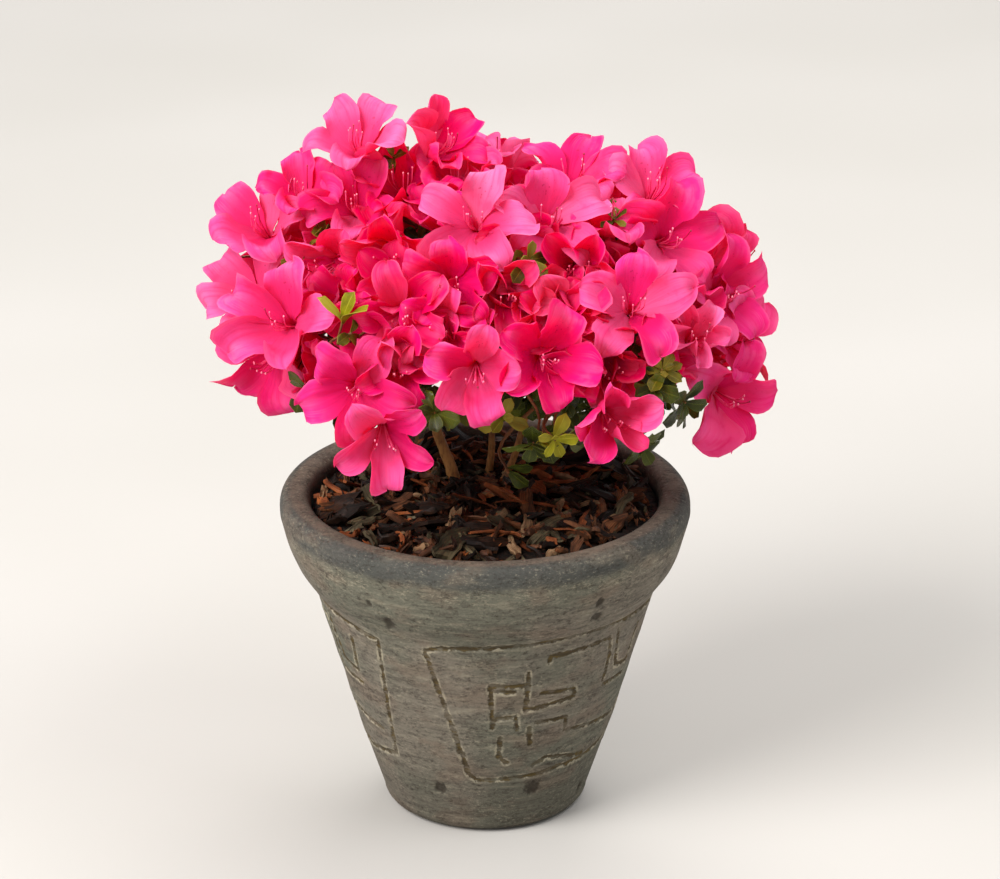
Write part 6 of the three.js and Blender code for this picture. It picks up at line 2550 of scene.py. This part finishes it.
@dataclass
class Foliage:
    """The leaves: sprigs on the planned shoots, and smaller ones all through the crown."""

    plan: CrownPlan
    inner_sprigs: int = 24
    leaf_length: float = 12.5
    leaf_width: float = 6.6
    old_leaf: tuple[float, float] = (1.05, 1.22)
    leaf_count: tuple[int, int] = (6, 9)
    whorl: Whorl = Whorl(75.0, 50.0, 10.0, 1.05, 0.45, (0.8, 1.12), 3.0)
    wide_tuft: Whorl = Whorl(80.0, 45.0, 12.0, 1.1, 0.4, (0.8, 1.15), 2.5)
    narrow_tuft: Whorl = Whorl(80.0, 45.0, 12.0, 1.1, 0.4, (0.8, 1.15), 2.5, 0.3)
    upright: float = 60.0

    def build(self) -> list[Piece]:
        """Models the sprigs, and dresses them."""
        sheet = Pattern.sheet(4, 6)
        groups = {kind: Gathering(sheet) for kind in LeafKind}
        for mass in self.plan.masses:
            for i, shoot in enumerate(mass.shoots):
                dice = Dice(SEED + SEED_SPRIGS + mass.index * 50 + i)
                self._sprig(groups[shoot.kind], shoot.at, shoot.toward, dice, shoot.kind)
            self._fill(mass, groups)
        for i, tuft in enumerate(TUFTS):
            self._tuft(groups[tuft.kind], tuft, Dice(SEED + SEED_TUFTS + i))
        finishes = {
            LeafKind.YOUNG: LeafFinish(
                "leaf_young", paint(150, 146, 20), paint(112, 108, 14), paint(190, 178, 60), 0.34, 0.3
            ),
            LeafKind.OLIVE: LeafFinish(
                "leaf_olive", paint(98, 94, 20), paint(66, 62, 14), paint(146, 132, 44), 0.3, 0.15
            ),
            LeafKind.OLD: LeafFinish(
                "leaf_old", paint(58, 64, 14), paint(33, 38, 8), paint(92, 98, 30), 0.26, 0.06
            ),
        }
        pieces = []
        for kind, gathering in groups.items():
            name = f"leaves_{kind.value}"
            pieces.append(keep(gathering.piece(name), finishes[kind], CROWN_NODES))
        return pieces

    def _fill(self, mass: Mass, groups: dict[LeafKind, Gathering]) -> None:
        """Sets small sprigs through a mass, in its own space and out of the blooms' funnels.

        Args:
            mass: The mass.
            groups: Where the leaves of each age are gathered.
        """
        own = [bloom.way for bloom in self.plan.blooms if bloom.mass == mass.index]
        for i in range(self.inner_sprigs):
            dice = Dice(SEED + SEED_FILL_SPRIGS + mass.index * 100 + i)
            way = unit(own[i % len(own)] + 0.45 * heading(dice.between(0, 360), dice.between(-80, 50)))
            at = in_crown(way, dice.between(0.6, 0.84))
            toward = unit(way + 0.5 * heading(dice.between(0, 360), dice.between(-30, 60)))
            if self.plan.depth_in(mass.index, at) < 2 or self.plan.hides_bloom(at):
                continue
            kind = dice.pick((LeafKind.OLD, LeafKind.OLD, LeafKind.OLD, LeafKind.OLIVE))
            self._sprig(groups[kind], at, toward, dice, kind)

    def _sprig(self, group: Gathering, at: Point, toward: Point, dice: Dice, kind: LeafKind) -> None:
        """Adds a whorl of leaves, the older ones spread wide and the younger ones upright.

        Args:
            group: Where the leaves are gathered.
            at: Where they spring.
            toward: Which way the shoot points.
            dice: The sprig's run of chances.
            kind: The age of the leaves.
        """
        count = int(dice.between(*self.leaf_count))
        for root, way, size in self.whorl.leaves(at, toward, count, 1.0, dice):
            tip = root + way * self.leaf_length * size
            if self.plan.hides_bloom(tip) or self.plan.hides_bloom((root + tip) / 2) or veils_stems(tip):
                continue
            width = 1.0
            if kind is LeafKind.OLD:
                size, width = size * self.old_leaf[0], self.old_leaf[1]
            group.add(self._leaf(group.pattern, root, way, toward, (size, width), dice), dice.next())

    def _tuft(self, group: Gathering, tuft: Tuft, dice: Dice) -> None:
        """Adds the leaves of a tuft where the picture shows it.

        Args:
            group: Where the leaves are gathered.
            tuft: The tuft.
            dice: Its run of chances.
        """
        at = from_picture(tuft.across, tuft.up, tuft.sink)
        toward = heading(tuft.bearing, tuft.lift)
        width = self.old_leaf[1] if tuft.kind is LeafKind.OLD else 1.0
        whorl = self.narrow_tuft if tuft.lift > self.upright else self.wide_tuft
        for root, way, size in whorl.leaves(at, toward, tuft.count, tuft.size, dice):
            group.add(self._leaf(group.pattern, root, way, toward, (size, width), dice), dice.next())

    def _leaf(
        self, pattern: Pattern, root: Point, way: Point, facing: Point, sizes: tuple[float, float], dice: Dice
    ) -> np.ndarray:
        """Shapes one leaf.

        Args:
            pattern: The sheet that it is bent from.
            root: Where it springs.
            way: Which way it points.
            facing: The side that its upper face is turned to.
            sizes: Its size and its width against the usual leaf.
            dice: The sprig's run of chances.

        Returns:
            The leaf's points.
        """
        across, along, through = pattern.places.T
        length = self.leaf_length * sizes[0]
        width = self.leaf_width * sizes[0] * sizes[1] * dice.between(0.85, 1.1)
        blade = np.clip((along - 0.08) / 0.92, 0, 1)
        outline = 1.39 * blade**0.55 * np.sqrt(1 - blade**4)
        half = np.maximum(width / 2 * outline, np.where(along < 0.12, 0.45, 0.12))
        bend = dice.between(0.15, 0.75)
        angle = bend * along
        x = across * half
        y = length * np.sin(angle) / bend
        z = -length * (1 - np.cos(angle)) / bend
        fold = dice.between(0.05, 0.3)
        z = z + fold * np.abs(x) - 0.25 * np.exp(-((across / 0.22) ** 2)) * outline
        z += dice.between(0.1, 0.4) * np.sin(along * 9 + dice.between(0, 6)) * across**2
        z += (through - 0.5) * 0.4 * (1 - 0.5 * np.abs(across))
        sideways = unit(np.cross(way, facing))
        normal = np.cross(sideways, way)
        return root + np.outer(x, sideways) + np.outer(y, way) + np.outer(z, normal)


@dataclass
class Studio:
    """The camera where the photograph was taken from, a plain pale floor, and soft light."""

    target: tuple[float, float, float] = (6.5, 0.0, 168.9)
    lift: float = 21.9
    distance: float = 1800.0
    lens: float = 148.6
    floor_size: float = 16.0
    world: float = 0.56

    def place_camera(self) -> None:
        """Makes the camera and hands it to the scene."""
        data = bpy.data.cameras.new("viewer")
        data.lens, data.sensor_width, data.sensor_fit = self.lens, 36.0, "AUTO"
        data.clip_start, data.clip_end = 0.05, 60.0
        camera = bpy.data.objects.new("viewer", data)
        bpy.context.scene.collection.objects.link(camera)
        back = Vector(-heading(180, -self.lift))
        camera.location = Vector(self.target) * MM + back * self.distance * MM
        camera.rotation_euler = (-back).to_track_quat("-Z", "Y").to_euler()
        bpy.context.scene.camera = camera

    def light(self) -> None:
        """Sets the soft lights, and how the picture is developed."""
        scene = bpy.context.scene
        scene.view_settings.view_transform = "Standard"
        world = bpy.data.worlds.new("soft_room")
        world.use_nodes = True
        sky = world.node_tree.nodes["Background"]
        sky.inputs["Color"].default_value = (0.98, 0.99, 1.0, 1)
        sky.inputs["Strength"].default_value = self.world
        scene.world = world
        self._panel("key", (-1.6, -1.35, 1.9), 1.4, 104.0, (1.0, 0.99, 0.98))
        self._panel("fill", (1.2, -0.6, 2.2), 1.4, 26.0, (0.98, 0.99, 1.0))
        self._panel("back", (0.3, 1.3, 2.1), 1.3, 38.0, (1.0, 1.0, 1.0))

    @staticmethod
    def _panel(name: str, place: Sequence[float], size: float, power: float, tint: Sequence[float]) -> None:
        """Hangs one square light, turned to the plant.

        Args:
            name: Its name.
            place: Where it hangs, in metres.
            size: How wide it is, in metres.
            power: Its power in watts.
            tint: Its colour.
        """
        data = bpy.data.lights.new(name, "AREA")
        data.shape, data.size, data.energy, data.color = "SQUARE", size, power, tint
        lamp = bpy.data.objects.new(name, data)
        bpy.context.scene.collection.objects.link(lamp)
        lamp.location = place
        aim = Vector((0, 0, 0.16)) - Vector(place)
        lamp.rotation_euler = aim.to_track_quat("-Z", "Y").to_euler()

    def lay_floor(self) -> None:
        """Lays the floor that the pot stands on."""
        start_fresh()
        bpy.ops.mesh.primitive_plane_add(size=self.floor_size, location=(0, 0, -0.0005))
        floor = bpy.context.object
        floor.name = "floor"
        recipe = Recipe("pale_floor")
        clouds = recipe.noise(2.0, 2.0)
        tone = recipe.stain(paint(178, 174, 168), paint(184, 180, 175), clouds, 0.3, 0.7)
        floor.data.materials.append(recipe.finish(tone, 0.8, Specular_IOR_Level=0.2))


def main() -> None:
    """Builds the camera, the pot, the mulch, the wood, the foliage and the blossom, in that order."""
    logging.basicConfig(level=logging.INFO, format="%(message)s")
    studio = Studio()
    studio.place_camera()
    plan = CrownPlan()
    LOG.info("blooms: %d, shoots: %d", len(plan.blooms), sum(len(mass.shoots) for mass in plan.masses))
    ClayPot().build()
    Mulch().build()
    Woodwork(plan).build()
    Foliage(plan).build()
    Blossom(plan).build()
    studio.light()
    studio.lay_floor()


if __name__ == "__main__":
    main()
